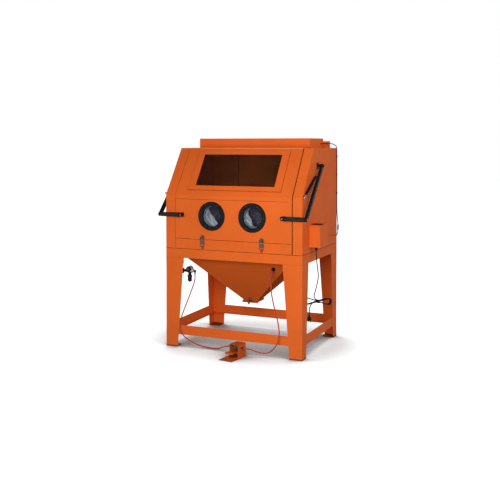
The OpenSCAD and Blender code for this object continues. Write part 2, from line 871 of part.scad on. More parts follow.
// Regulator: bracket on the leg, body with bonnet, inlet behind and an elbow down to the hose on the right
module regulator() {
  bonnet_r = 25;
  bonnet_back = 20;
  stem_l = 14;
  boss_r = 15;
  boss_half = 30;
  foot_r = 14;
  inlet_r = 13;
  ball_r = 11;
  spigot_end_r = 7;
  plate_h = 22;
  plate_in = 56;
  web_in = 8;
  web_t = 4;
  bar_h = 12;
  bar_t = 3;
  back_y0 = front_y + leg_t;
  web_x = leg_edge - web_in;
  color(dark) {
    translate([reg_x, reg_y + bonnet_back, knob_z]) rotate([90, 0, 0])
      cylinder(r = bonnet_r, h = bonnet_back + knob_out);
    translate([reg_x, reg_y - knob_out, knob_z]) rotate([90, 0, 0]) cylinder(r = knob_stem_r, h = stem_l);
    translate([reg_x - boss_half, reg_y, reg_z]) rotate([0, 90, 0]) cylinder(r = boss_r, h = 2*boss_half);
    translate([reg_x, reg_y, reg_z - bowl_drop]) cylinder(r = foot_r, h = bowl_drop);
    translate([reg_x, reg_y, reg_z]) rotate([-90, 0, 0]) cylinder(r = inlet_r, h = reg_r);
    translate([reg_x, reg_y, reg_z]) rotate([-90, 0, 0]) cylinder(r = port_r, h = reg_r + inlet_l);
    translate([reg_x, reg_y, reg_z]) rotate([0, 90, 0]) cylinder(r = port_r, h = elbow_out);
    translate([reg_out_x, reg_y, reg_z]) sphere(r = ball_r);
    translate([reg_out_x, reg_y, reg_z - elbow_l]) cylinder(r = spigot_end_r, h = elbow_l);
    block([leg_edge - plate_in, back_y0, reg_z - plate_h], [web_x, back_y0 + web_t, reg_z + plate_h]);
    block([web_x - web_t, back_y0, reg_z - plate_h], [web_x, reg_y + bar_t, reg_z + plate_h]);
    block([web_x - web_t, reg_y - bar_t, reg_z - bar_h], [reg_x, reg_y + bar_t, reg_z + bar_h]);
  }
}

// Fluted adjusting knob on the stem
module regulator_knob() {
  cap = 6;
  cap_in = 4;
  bore = 16;
  flute_r = 3;
  flute_out = 1.5;
  flute_step = 30;
  through = 1;
  color(dark) translate([reg_x, knob_y, knob_z]) rotate([90, 0, 0]) difference() {
    union() {
      cylinder(r = knob_r, h = knob_l - cap);
      translate([0, 0, knob_l - cap]) cylinder(r = knob_r - cap_in, h = cap);
    }
    translate([0, 0, -through]) cylinder(r = knob_stem_r + pin_gap, h = bore + through);
    for (a = [0:flute_step:360 - flute_step]) rotate(a) translate([knob_r + flute_out, 0, -through])
      cylinder(r = flute_r, h = knob_l - cap, $fn = 16);
  }
}

module filter_bowl() {
  collar = 12;
  collar_over = 3;
  drain_r = 6;
  drain_l = 8;
  drain_flare = 4;
  color(dark) translate([reg_x, reg_y, reg_z - bowl_drop]) {
    translate([0, 0, -collar]) cylinder(r = bowl_r + collar_over, h = collar);
    translate([0, 0, -bowl_l]) cylinder(r = bowl_r, h = bowl_l);
    translate([0, 0, -bowl_l - drain_l]) cylinder(r1 = drain_r, r2 = drain_r + drain_flare, h = drain_l);
  }
}

// Foot pedal

module at_pedal() {
  translate(pedal_at) rotate([0, 0, pedal_turn]) children();
}

// Base plate with the guard: two walls and a top, open at the front
module pedal_base() {
  through = 1;
  barb_room = 2;
  x1 = guard_x + guard_w;
  y1 = guard_y + guard_d;
  color(paint) at_pedal() difference() {
    union() {
      block([-pedal_w/2, -pedal_l/2, 0], [pedal_w/2, pedal_l/2, base_t]);
      block([guard_x, guard_y, 0], [guard_x + guard_t, y1, pedal_h]);
      block([x1 - guard_t, guard_y, 0], [x1, y1, pedal_h]);
      block([guard_x, guard_y, pedal_h - guard_t], [x1, y1, pedal_h]);
    }
    translate([guard_x - through, treadle_pin_y, treadle_pin_z]) rotate([0, 90, 0])
      cylinder(r = treadle_pin_r + pin_gap, h = guard_w + 2*through);
    translate([guard_x - through, guard_y + valve_in, valve_z]) rotate([0, 90, 0])
      cylinder(r = barb_r + barb_room, h = guard_w + 2*through);
  }
}

// Air valve under the guard's top, with a hose barb through each wall
module pedal_valve() {
  half_w = 24;
  half_d = 20;
  drop = 16;
  boss_r = 11;
  boss_l = 8;
  xm = guard_x + guard_w/2;
  ym = guard_y + valve_in;
  color(zinc) at_pedal() {
    block([xm - half_w, ym - half_d, valve_z - drop], [xm + half_w, ym + half_d, pedal_h - guard_t]);
    translate([guard_x - barb_out, ym, valve_z]) rotate([0, 90, 0])
      cylinder(r = barb_r, h = guard_w + 2*barb_out);
    translate([xm, ym - half_d, valve_z]) rotate([90, 0, 0]) cylinder(r = boss_r, h = boss_l);
  }
}

// Treadle that tips on a pin through both guard walls
module pedal_treadle() {
  side_gap = 1.5;
  tip_in = 38;
  tip_rise = 18;
  half_t = 1.5;
  heel = 6;
  nose_h = 12;
  rib_h = 9;
  rib_t = 3;
  rib_from = 60;
  root = 1;
  pin_over = 4;
  w = guard_w/2 - guard_t - side_gap;
  run = treadle_pin_y + pedal_l/2 - tip_in;
  rise = atan2(tip_rise, run);
  long = run/cos(rise);
  pin_half = guard_w/2 + pin_over;
  color(paint) at_pedal() translate([guard_x + guard_w/2, treadle_pin_y, treadle_pin_z]) {
    rotate([-rise, 0, 0]) {
      block([-w, -long, -half_t], [w, heel, half_t]);
      block([-w, -long, -nose_h], [w, -long + rib_t, -root]);
      both_sides() block([w - rib_t, rib_from - long, -rib_h], [w, heel + root, -root]);
    }
    translate([-pin_half, 0, 0]) rotate([0, 90, 0]) cylinder(r = treadle_pin_r, h = 2*pin_half);
  }
}

// Door

// Bent sheet with turned-in edges, a lip over the roof's front edge and the seam line under the slope
module door_panel() {
  through = 30;
  color(paint) difference() {
    union() {
      along_x(-door_hw, door_hw) {
        bent_strip(0, sheet, door_z, lip_z);
        polygon([slope_in(lip_z, 0), slope_in(lip_z - sheet, 0), [lip_y, lip_z - sheet], [lip_y, lip_z]]);
        translate([front_y, door_z]) square([door_flange, sheet]);
      }
      both_sides() along_x(door_hw - sheet, door_hw)
        bent_strip(sheet - eps, door_flange, door_z, flange_top_z);
    }
    on_slope() block([-win_w/2, win_up, -through], [win_w/2, win_up + win_h, through]);
    for (s = [-1, 1]) on_front() translate([s*port_x, port_z, -through])
      cylinder(r = spigot_r + fit, h = 2*through);
    block([-door_hw + seam_left, front_y - sheet, seam_z],
      [door_hw - seam_right, front_y + sheet/2, seam_z + sheet]);
  }
}

// Raised frame screwed over the glass
module window_frame() {
  lap = win_lap + 1;
  through = 1;
  w = win_w/2 + win_side;
  color(paint) on_slope() difference() {
    block([-w, win_up - win_edge, 0], [w, win_up + win_h + win_edge, frame_h]);
    block([-win_w/2, win_up, -through], [win_w/2, win_up + win_h, frame_h + through]);
    block([-win_w/2 - lap, win_up - lap, -through],
      [win_w/2 + lap, win_up + win_h + lap, frame_h - frame_lip]);
  }
}

module window_glass() {
  color("#5b4636") on_slope() block([-win_w/2 - win_lap, win_up - win_lap, 0],
    [win_w/2 + win_lap, win_up + win_h + win_lap, glass_t]);
}

// Glove port rings: a rounded face ring with the spigot that the glove is clamped to
module glove_rings() {
  r0 = port_d/2;
  r1 = ring_d/2;
  depth = 13;
  round_out = 6;
  round_in = 8;
  bevel = 5;
  color(dark) for (s = [-1, 1]) on_front() translate([s*port_x, port_z, 0]) rotate_extrude($fn = 96)
    polygon([
      [r0, -spigot_l], [spigot_r, -spigot_l], [spigot_r, 0], [r1, 0], [r1, depth - round_out],
      [r1 - round_out, depth], [r0 + round_in, depth], [r0, depth - bevel]
    ]);
}

// Gloves: sleeves clamped on the spigots, hanging down inside to a closed hand
glove_sides = 16;
glove_wall = 3;
glove_r0 = (spigot_r + fit)/cos(180/glove_sides) + glove_wall;
glove_from = 10;
glove_grip = 28;
// Each further ring: depth behind the front, drop and radius
glove_arm = [
  [106, -9, 86], [140, -30, 76], [175, -66, 63], [200, -106, 52], [214, -142, 40], [220, -164, 18]
];
glove_rows = concat(
  [for (d = [glove_from, spigot_l + 2, spigot_l + glove_grip]) [d, 0, glove_r0]], glove_arm);
module glove(x) {
  p = [for (q = glove_rows) [x, front_y + q[0], port_z + q[1]]];
  r = [for (q = glove_rows) q[2]];
  n = len(p);
  s = glove_sides;
  m = n*s;
  inner = [for (i = [0:n - 2]) p[i]];
  inner_r = [for (i = [0:n - 2]) r[i] - glove_wall];
  side = [for (q = p) [1, 0, 0]];
  color(grey) polyhedron(concat(ring_points(p, side, r, s), ring_points(inner, side, inner_r, s)), concat(
    wall_faces(n, s, 0, true), fan(s, (n - 1)*s, true),
    wall_faces(n - 1, s, m, false), fan(s, m + (n - 2)*s, false),
    [for (k = [0:s - 1]) let (j = (k + 1) % s) each [[k, j, m + k], [j, m + j, m + k]]]));
}
module glove_right() glove(port_x);
module glove_left() glove(-port_x);

// Lift arms and gas struts

// Plates on the cabinet sides with the door's pivot pins
module pivot_plates() {
  plate = [44, 54];
  boss_r = 14;
  pin_over = 6;
  color(dark) both_sides() {
    along_x(hw, hw + plate_t) translate([pivot_y, pivot_z]) square(plate, center = true);
    translate([hw, pivot_y, pivot_z]) rotate([0, 90, 0]) {
      cylinder(r = pin_r, h = arm_out + arm_t + pin_over);
      cylinder(r = boss_r, h = arm_out - fit);
    }
  }
}

// Square tube from the pivot to the elbow, then a rod across the front to a clamp on the door
module lift_arms() {
  clamp_r = 16;
  clamp_l = 30;
  clamp_t = 4;
  clamp_h = 18;
  web_h = 8;
  stud_l = 22;
  run = [grip_y - pivot_y, grip_z - pivot_z];
  clamp_x = grip_x - grip_gap - clamp_l;
  color(dark) both_sides() difference() {
    union() {
      along_x(arm_x, arm_x + arm_t) {
        translate([pivot_y, pivot_z]) rotate(atan2(run[1], run[0])) translate([0, -arm_w/2])
          square([norm(run), arm_w]);
        translate([pivot_y, pivot_z]) circle(r = arm_end_r);
        translate([grip_y, grip_z]) circle(r = arm_end_r);
      }
      translate([clamp_x, grip_y, grip_z]) rotate([0, 90, 0]) {
        cylinder(r = grip_rod_r, h = arm_x - clamp_x + eps);
        cylinder(r = clamp_r, h = clamp_l);
      }
      block([clamp_x, grip_y, grip_z - web_h], [clamp_x + clamp_l, front_y, grip_z + web_h]);
      block([clamp_x, front_y - clamp_t, grip_z - clamp_h], [clamp_x + clamp_l, front_y, grip_z + clamp_h]);
      translate([arm_x - stud_l, strut_top[0], strut_top[1]]) rotate([0, 90, 0])
        cylinder(r = stud_r, h = stud_l + eps);
    }
    translate([hw, pivot_y, pivot_z]) rotate([0, 90, 0])
      cylinder(r = pin_r + pin_gap, h = arm_out + 2*arm_t);
  }
}

// Moulded grips pushed on the rods, with a collar at the inner end
module arm_grips() {
  bore_gap = 0.1;
  collar_l = 9;
  collar_over = 5;
  through = 1;
  color(dark) both_sides() translate([grip_x, grip_y, grip_z]) rotate([0, 90, 0]) difference() {
    union() {
      cylinder(d = grip_d, h = grip_l);
      cylinder(d = grip_d + collar_over, h = collar_l);
    }
    translate([0, 0, -through]) cylinder(r = grip_rod_r + bore_gap, h = grip_l + 2*through);
  }
}

// Studs on the cabinet sides for the strut rods
module strut_studs() {
  washer_r = 12;
  washer_t = 3;
  over = 10;
  color(zinc) both_sides() translate([hw, strut_low[0], strut_low[1]]) rotate([0, 90, 0]) {
    cylinder(r = stud_r, h = strut_out + over);
    cylinder(r = washer_r, h = washer_t);
  }
}

// Frame of a strut: x from the low stud towards the arm, z outwards
module on_strut() {
  translate([strut_x, strut_low[0], strut_low[1]]) rotate([90, 0, 90]) rotate(strut_a) children();
}
module strut_eye(at) {
  eye_r = 9;
  eye_w = 10;
  through = 1;
  translate([at, 0, -eye_w/2]) difference() {
    cylinder(r = eye_r, h = eye_w);
    translate([0, 0, -through]) cylinder(r = stud_r + pin_gap, h = eye_w + 2*through);
  }
}

module strut_rods() {
  rod_from = 8;
  rod_short = 60;
  color(zinc) both_sides() on_strut() {
    strut_eye(0);
    translate([rod_from, 0, 0]) rotate([0, 90, 0]) cylinder(r = rod_r, h = strut_l - rod_short - rod_from);
  }
}

module strut_cylinders() {
  tube_from = 44;
  tube_short = 14;
  bore_short = 24;
  stem_r = 4;
  stem_l = 8;
  lap = 1;
  color(dark) both_sides() on_strut() {
    strut_eye(strut_l);
    difference() {
      translate([tube_from, 0, 0]) rotate([0, 90, 0])
        cylinder(r = tube_r, h = strut_l - tube_from - tube_short);
      translate([tube_from - lap, 0, 0]) rotate([0, 90, 0])
        cylinder(r = tube_bore_r, h = strut_l - tube_from + lap - bore_short);
    }
    translate([strut_l - tube_short - lap, 0, 0]) rotate([0, 90, 0]) cylinder(r = stem_r, h = stem_l);
  }
}

// Toggle latches

module latch_bases() {
  plate = 2;
  ear_t = 2;
  ear_r = 6.2;
  plate_low = 9;
  plate_up = 18;
  ear_x = latch_w/2 - ear_t;
  color(zinc) for (s = [-1, 1]) translate([s*latch_x, 0, 0]) difference() {
    union() {
      block([-latch_w/2, front_y - plate, lever_z - plate_low], [latch_w/2, front_y, lever_z + plate_up]);
      both_sides() {
        block([ear_x, lever_y, lever_z - ear_r], [latch_w/2, front_y, lever_z + ear_r]);
        translate([ear_x, lever_y, lever_z]) rotate([0, 90, 0]) cylinder(r = ear_r, h = ear_t);
      }
    }
    translate([-latch_w, lever_y, lever_z]) rotate([0, 90, 0])
      cylinder(r = latch_pin_r + pin_gap, h = 2*latch_w);
  }
}

// Lever on its pin, with a folded finger edge and the hole that the loop's top bar turns in
module latch_lever(x) {
  side_gap = 4;
  root_t = 3;
  root_low = 4.5;
  root_over = 4;
  blade_back = 0.5;
  lip_out = 6;
  lip_h = 3;
  pin_half = latch_w/2 + 0.2;
  w = latch_w/2 - side_gap;
  color(zinc) translate([x, lever_y, lever_z]) difference() {
    union() {
      block([-w, -root_t, -root_low], [w, root_t, loop_up + root_over]);
      block([-w, -root_t, loop_up], [w, -blade_back, lever_l]);
      block([-w, -lip_out, lever_l - lip_h], [w, -blade_back, lever_l]);
      translate([-pin_half, 0, 0]) rotate([0, 90, 0]) cylinder(r = latch_pin_r, h = 2*pin_half);
    }
    translate([-latch_w, 0, loop_up]) rotate([0, 90, 0]) cylinder(r = loop_r + pin_gap, h = 2*latch_w);
  }
}
module latch_lever_right() latch_lever(latch_x);
module latch_lever_left() latch_lever(-latch_x);

// Wire loop with a link plate: its top bar turns in the lever, its low bar lies over the keeper
module latch_loop(x) {
  link_t = 2.4;
  link_up = 14;
  link_drop = 6;
  top = lever_z + loop_up;
  color(zinc) translate([x, lever_y, 0]) {
    for (z = [top, loop_low]) translate([-loop_x, 0, z]) rotate([0, 90, 0])
      cylinder(r = loop_r, h = 2*loop_x);
    both_sides() {
      translate([loop_x, 0, loop_low]) cylinder(r = loop_r, h = top - loop_low);
      for (z = [top, loop_low]) translate([loop_x, 0, z]) sphere(r = loop_r);
    }
    block([-loop_x, -link_t/2, loop_low + link_up], [loop_x, link_t/2, door_z - link_drop]);
  }
}
module latch_loop_right() latch_loop(latch_x);
module latch_loop_left() latch_loop(-latch_x);

// Keepers on the sill; the loops lie over their lips
module latch_keepers() {
  plate = 2;
  plate_w = 26;
  plate_h = 34;
  foot = 5;
  lip_w = 20;
  lip_low = 6;
  lip_up = 2;
  color(paint) for (s = [-1, 1]) translate([s*latch_x, 0, 0]) {
    block([-plate_w/2, front_y - plate, stand_h + foot], [plate_w/2, front_y, stand_h + plate_h]);
    block([-lip_w/2, lever_y + loop_r + loop_gap, loop_low - lip_low],
      [lip_w/2, front_y - plate, loop_low + lip_up]);
  }
}

// Cords

hank_u = [cos(hank_turn)*cos(hank_droop), sin(hank_turn)*cos(hank_droop), sin(hank_droop)];
hank_n = [-sin(hank_turn), cos(hank_turn), 0];
hank_v = cross(hank_n, -hank_u);
hank_seg = 24;
function hank_pt(t) =
  let (a = 90 - t)
  hank_at + hank_half*cos(a)*hank_u + sin(a)*(hank_waist + hank_bulge*pow(cos(a), 2))*hank_v
    + hank_step*(t/360 - hank_loops/2)*hank_n;
hank_path = [for (i = [0:hank_seg*hank_loops]) hank_pt(360*i/hank_seg)];
function least_gap(p, skip) = min([
  for (i = [0:len(p) - 1]) for (j = [i + skip:1:len(p) - 1]) norm(p[i] - p[j])
]);
hank_first = hank_path[0];
hank_last = hank_path[len(hank_path) - 1];

// Points given as offsets: from the right side and the front face, or as shares of the half width
function beside(p) = [for (q = p) [hw + q[0], front_y + q[1], q[2]]];
function before(p) = [for (q = p) [hw*q[0], front_y + q[1], q[2]]];
lead_in = [0, 8, 24];

drop_route = concat([for (d = [0, 23]) gland_p - [0, 0, gland_l + d]], beside([
  [45, 217, box_z - 100], [44, 245, box_z - 175], [43, 269, 643], [41, 261, 600], [38, 239, 556],
  [34, 215, 516], [31, 197, 484]
]), [hank_first - 28*hank_u + 9*hank_v, hank_first - 8*hank_u, hank_first]);
tail_route = concat([hank_last, hank_last - 8*hank_u, hank_last - 26*hank_u - 4*hank_v + 4*hank_n], beside([
  [3, 208, 411], [-5, 200, 392], [-8, 196, 370], [-8, 195, 346], [-8, 195, 336], [-8, 195, 328]
]));
supply_route = concat([for (d = lead_in) [reg_out_x, reg_y, reg_z - elbow_l - d]], before([
  [-0.593, 41, reg_z - 84], [-0.620, 30, reg_z - 144], [-0.656, 5, 420], [-0.692, -23, 340],
  [-0.725, -39, 270], [-0.743, -42, 210], [-0.743, -42, 165], [-0.721, -40, 128], [-0.679, -31, 98],
  [-0.616, -13, 66], [-0.551, 9, 40], [-0.475, 31, 20], [-0.385, 47, 9], [-0.287, 47, 9], [-0.197, 25, 22],
  [-0.115, -9, 45], [-0.033, -45, 64]
]));
blast_route = before([
  [0.311, -75, 70], [0.377, -50, 52], [0.451, -35, 40], [0.521, -29, 40], [0.582, -31, 58],
  [0.631, -37, 86], [0.672, -42, 120], [0.698, -44, 160], [0.711, -44, 204], [0.705, -41, 250],
  [0.685, -35, 305], [0.649, -21, 366], [0.600, 5, 430], [0.557, 31, bulk_z - 191],
  [0.531, 55, bulk_z - 121], [0.515, 79, bulk_z - 61]
]);

function pedal_pt(p) = pedal_at + [
  p[0]*cos(pedal_turn) - p[1]*sin(pedal_turn), p[0]*sin(pedal_turn) + p[1]*cos(pedal_turn), p[2]
];
pedal_left = [guard_x - barb_out, guard_y + valve_in, valve_z];
pedal_right = [guard_x + guard_w + barb_out, guard_y + valve_in, valve_z];
bulk_out = [0, -cos(hop_a), -sin(hop_a)];
bulk_tip = [bulk_x, bulk_y, bulk_z] + (bulk_l + fit)*bulk_out;
lead_out = [24, 8, 0];

supply_path = smooth(concat(supply_route, [for (d = lead_out) pedal_pt(pedal_left - [d, 0, 0])]), 3);
blast_path = smooth(concat([for (d = lead_in) pedal_pt(pedal_right + [d, 0, 0])], blast_route,
  [for (d = lead_out) bulk_tip + d*bulk_out]), 3);
drop_path = smooth(drop_route, 3);
tail_path = smooth(tail_route, 3);

module supply_hose() color(red) swept(supply_path, hose_d/2, 8);
module blast_hose() color(red) swept(blast_path, hose_d/2, 8);
module cord_runs() color(dark) {
  swept(drop_path, cord_d/2, 8);
  swept(tail_path, cord_d/2, 8);
}
module cord_hank() color(dark) swept(hank_path, cord_d/2, 6);
echo(hank_gap = least_gap(hank_path, hank_seg/2) - cord_d, hank_length = total_length(hank_path),
  drop_length = total_length(drop_path), tail_length = total_length(tail_path),
  supply_length = total_length(supply_path), blast_length = total_length(blast_path));

// Tie round the waist of the hank
module hank_tie() {
  room = 0.4;
  band = 2;
  half_l = 7;
  through = 1;
  half_n = hank_step*hank_loops/2 + cord_d/2 + room;
  half_v = hank_waist + cord_d/2 + room;
  outer = [half_l, half_n + band, half_v + band];
  inner = [half_l + through, half_n, half_v];
  color(dark) translate(hank_at) rotate([0, 0, hank_turn]) rotate([0, -hank_droop, 0]) difference() {
    block(-outer, outer);
    block(-inner, inner);
  }
}

// Moulded plug at the tail's end, pins down
module plug() {
  neck_l = 22;
  neck_end_r = 12;
  neck_wall = 1.5;
  body_r = 17;
  body_l = 22;
  pin_r_plug = 2.4;
  pin_out = 18;
  pin_off = 9.5;
  at = tail_route[len(tail_route) - 1];
  body_low = neck_l + body_l;
  color(dark) translate(at) {
    translate([0, 0, -neck_l]) cylinder(r1 = neck_end_r, r2 = cord_d/2 + neck_wall, h = neck_l);
    translate([0, 0, -body_low]) cylinder(r = body_r, h = body_l);
  }
  color(zinc) for (s = [-1, 1]) translate(at + [s*pin_off, 0, -body_low - pin_out])
    cylinder(r = pin_r_plug, h = pin_out + fit);
}

// Lead from the light box over the roof's edge and down the rear edge to the control box
lead_r = 3.5;
lead_x = hw + lead_r + fit;
lead_end_y = box_y + box_w;
function lead_over(p) = [for (q = p) [lamp_w/2 + q[0], lamp_y + lamp_d + q[1], roof_z + q[2]]];
function lead_down(p) = [for (q = p) [lead_x + q[0], back_y + q[1], roof_z + q[2]]];
function lead_along(p) = [for (q = p) [lead_x + q[0], back_y + q[1], stand_h + q[2]]];
lead_route = concat(
  lead_over([[0, -73, 37], [8, -73, 37], [22, -71, 37], [49, -45, 40], [73, 1, 38], [89, 45, 28]]),
  lead_down([[1, -31, 12], [0, -15, -14], [0, -10, -66], [0, -9, -176], [0, -9, -296], [0, -9, -416]]),
  lead_along([[0, -8, 317], [1, -1, 247], [5, 12, 167], [4, 7, 102], [1, -11, 71], [0, -55, 72],
    [0, -145, 83], [0, -255, 93], [0, -375, 98], [0, -485, 101]]),
  [for (d = [10, 0]) [lead_x, lead_end_y + d, stand_h + 102]]);
module lamp_lead() color(dark) swept(smooth(lead_route, 3), lead_r, 8);

leg_front_left();
leg_front_right();
leg_rear_left();
leg_rear_right();
top_rails();
lower_rails();
side_left();
side_right();
back_panel();
roof_panel();
jamb_left();
jamb_right();
sill_panel();
hopper();
hopper_collar();
hopper_gate();
gate_latch();
hose_bulkhead();
work_grate();
grate_ledges();
lamp_housing();
lamp_tubes();
lamp_lens();
vent_box();
exhaust_spigot();
blast_gun();
control_box();
power_switch();
cord_gland();
regulator();
regulator_knob();
filter_bowl();
pedal_base();
pedal_valve();
pedal_treadle();
pivot_plates();
strut_studs();
latch_keepers();
lamp_lead();
supply_hose();
blast_hose();
cord_runs();
cord_hank();
plug();
hank_tie();
door_panel();
window_frame();
window_glass();
glove_rings();
glove_left();
glove_right();
lift_arms();
arm_grips();
latch_bases();
latch_lever_left();
latch_lever_right();
latch_loop_left();
latch_loop_right();
strut_rods();
strut_cylinders();
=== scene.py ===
"""Dresses the packed sandblast cabinet: finishes, cords, gloves, seals, fasteners, camera and light.

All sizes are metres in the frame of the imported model: +Z is up, the lifting front faces -Y and the floor is
at z = 0.
"""

import json
import logging
import math
from dataclasses import dataclass
from enum import Enum
from functools import cache
from itertools import product
from typing import ClassVar, Iterable, Iterator, Sequence

import bmesh
import bpy
from mathutils import Matrix, Vector

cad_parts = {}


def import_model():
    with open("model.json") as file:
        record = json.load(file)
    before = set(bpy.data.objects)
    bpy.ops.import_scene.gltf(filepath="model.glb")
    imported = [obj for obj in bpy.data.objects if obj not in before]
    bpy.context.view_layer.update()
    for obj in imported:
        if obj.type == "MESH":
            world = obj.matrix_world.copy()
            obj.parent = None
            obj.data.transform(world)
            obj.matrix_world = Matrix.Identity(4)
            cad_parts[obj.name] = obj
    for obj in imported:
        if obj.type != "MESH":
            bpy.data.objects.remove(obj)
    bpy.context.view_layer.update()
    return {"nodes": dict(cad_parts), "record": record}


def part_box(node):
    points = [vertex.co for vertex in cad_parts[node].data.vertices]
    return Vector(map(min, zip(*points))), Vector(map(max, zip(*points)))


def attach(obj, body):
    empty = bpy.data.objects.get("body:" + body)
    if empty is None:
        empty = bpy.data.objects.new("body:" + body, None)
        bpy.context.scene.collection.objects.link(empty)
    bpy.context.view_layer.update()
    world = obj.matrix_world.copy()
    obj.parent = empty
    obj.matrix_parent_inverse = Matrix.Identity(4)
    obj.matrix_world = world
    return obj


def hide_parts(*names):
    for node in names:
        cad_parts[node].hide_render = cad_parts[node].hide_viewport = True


log = logging.getLogger("cabinet")

Colour = tuple[float, float, float]
Triple = tuple[float, float, float]
Span = tuple[float, float]
Route = Sequence[Sequence[float]]
Seat = tuple[Sequence[float], Triple]
Socket = bpy.types.NodeSocket
Paint = Colour | Socket

SIDES = (-1, 1)
SPAN_STEPS = 8
TUBE_ROUNDNESS = 4
PAINT_EDGE = 0.0005
WAVE_RATE = 20


class Body(str, Enum):
    """The moving bodies that a piece can ride on."""

    ROOT = "root"
    DOOR = "door"
    KNOB = "regulator_knob"


class Slot(str, Enum):
    """The record's material slots."""

    ORANGE = "orange_paint"
    BLACK_STEEL = "black_steel"
    BLACK_PLASTIC = "black_plastic"
    SMOKED = "smoked_plastic"
    GRIP = "grip_rubber"
    ZINC = "zinc_steel"
    CHROME = "rod_chrome"
    ALLOY = "cast_alloy"
    GLASS = "window_glass"
    LAMP = "lamp_plastic"
    GLOVE = "glove_rubber"
    RED_HOSE = "red_hose"
    CORD = "black_cord"


class NodeWork:
    """A node tree that is being filled."""

    def __init__(self, tree: bpy.types.NodeTree) -> None:
        """Takes the tree to fill."""
        self.tree = tree

    def feed(self, target: Socket, value: object) -> None:
        """Links a socket to another one, or sets its own value."""
        if isinstance(value, Socket):
            self.tree.links.new(value, target)
        else:
            target.default_value = value

    def node(self, kind: str, inputs: dict[str | int, object] | None = None,
             **settings: object) -> bpy.types.Node:
        """Adds a node.

        Args:
            kind: the node's type name.
            inputs: sockets or values for its inputs, by their names or numbers.
            settings: properties of the node, which are set first.

        Returns:
            The new node.
        """
        made = self.tree.nodes.new(kind)
        for key, value in settings.items():
            setattr(made, key, value)
        for key, value in (inputs or {}).items():
            self.feed(made.inputs[key], value)
        return made


@dataclass(frozen=True)
class Cloud:
    """A cloud pattern.

    Attributes:
        size: the width of one cloud.
        octaves: how many sizes of finer clouds it holds.
        span: the grey values, of about 0.3 to 0.7, that are its two ends.
        stretch: how many times longer the clouds are along each axis.
        turn: the angles that those axes are turned by.
    """

    size: float
    octaves: int
    span: Span = (0.3, 0.7)
    stretch: Triple = (1, 1, 1)
    turn: Triple = (0, 0, 0)


class Shader(NodeWork):
    """A material under construction: one Principled shader whose patterns read Object coordinates."""

    def __init__(self, name: str) -> None:
        """Starts an empty material of that name."""
        self.material = bpy.data.materials.new(name)
        self.material.use_nodes = True
        super().__init__(self.material.node_tree)
        self.tree.nodes.clear()
        self.surface = self.node("ShaderNodeBsdfPrincipled")
        self.node("ShaderNodeOutputMaterial", {"Surface": self.surface.outputs["BSDF"]})
        self.place = self.node("ShaderNodeTexCoord").outputs["Object"]

    def set(self, **values: object) -> None:
        """Sets or links the shader's own inputs, with underscores for the spaces in their names."""
        for key, value in values.items():
            self.feed(self.surface.inputs[key.replace("_", " ")], value)

    @property
    def painted(self) -> Socket:
        """The base colour that the surface has so far."""
        return self.surface.inputs["Base Color"].links[0].from_socket

    def along(self, axis: str) -> Socket:
        """The coordinate along an axis."""
        return self.node("ShaderNodeSeparateXYZ", {"Vector": self.place}).outputs[axis]

    def both(self, first: Socket, second: Socket) -> Socket:
        """The product of two values, which is 1 where both are."""
        return self.node("ShaderNodeMath", {0: first, 1: second}, operation="MULTIPLY").outputs[0]

    def noise(self, cloud: Cloud) -> Socket:
        """The grey value of a cloud pattern."""
        mapping = self.node("ShaderNodeMapping", {
            "Vector": self.place,
            "Rotation": cloud.turn,
            "Scale": [cloud.size * s for s in cloud.stretch],
        }, vector_type="TEXTURE")
        inputs = {"Vector": mapping.outputs["Vector"], "Scale": 1.0, "Detail": cloud.octaves}
        return self.node("ShaderNodeTexNoise", inputs).outputs["Fac"]

    def spread(self, value: Socket, span: Span, result: Span = (0, 1)) -> Socket:
        """Maps a range of a value onto another range, held at its ends.

        Args:
            value: the socket to map.
            span: the two values that become the ends of the result.
            result: what they become.

        Returns:
            The mapped value.
        """
        node = self.node("ShaderNodeMapRange", {
            "Value": value,
            "From Min": span[0],
            "From Max": span[1],
            "To Min": result[0],
            "To Max": result[1],
        }, clamp=True)
        return node.outputs["Result"]

    def blend(self, share: Socket, first: Paint, second: Paint) -> Socket:
        """Mixes two colours.

        Args:
            share: the share of the second colour.
            first: the first colour.
            second: the second colour.

        Returns:
            The mixed colour.
        """
        mix = self.node("ShaderNodeMix", {"Factor": share}, data_type="RGBA")
        colour_inputs = [s for s in mix.inputs if s.type == "RGBA"]
        for socket, colour in zip(colour_inputs, (first, second)):
            self.feed(socket, colour if isinstance(colour, Socket) else (*colour, 1.0))
        return next(s for s in mix.outputs if s.type == "RGBA")

    def cloudy(self, cloud: Cloud, first: Paint, second: Paint, share: float = 1.0) -> Socket:
        """Mixes a second colour into a first in clouds.

        Args:
            cloud: the pattern.
            first: the colour at the low end of the pattern.
            second: the colour at its high end.
            share: how much of the second colour there is at the high end.

        Returns:
            The mixed colour.
        """
        return self.blend(self.spread(self.noise(cloud), cloud.span, (0, share)), first, second)

    def rough(self, cloud: Cloud, middle: float, change: Span) -> None:
        """Lets the roughness vary in clouds.

        Args:
            cloud: the pattern.
            middle: the finish's own roughness.
            change: what the two ends of the pattern add to it.
        """
        low, high = change
        self.set(Roughness=self.spread(self.noise(cloud), cloud.span, (middle + low, middle + high)))

    def relief(self, height: Socket, depth: float) -> None:
        """Adds a bump on top of any that is there.

        Args:
            height: the pattern's height from 0 to 1.
            depth: the real depth of the pattern.
        """
        bump = self.node("ShaderNodeBump", {"Distance": depth, "Height": height})
        normal = self.surface.inputs["Normal"]
        if normal.is_linked:
            self.feed(bump.inputs["Normal"], normal.links[0].from_socket)
        self.feed(normal, bump.outputs["Normal"])


def shade(colour: Colour, factor: float) -> Colour:
    """A lighter or darker colour.

    Args:
        colour: linear red, green and blue.
        factor: how many times brighter.

    Returns:
        The new colour, held at 1.
    """
    return tuple(min(1.0, c * factor) for c in colour)


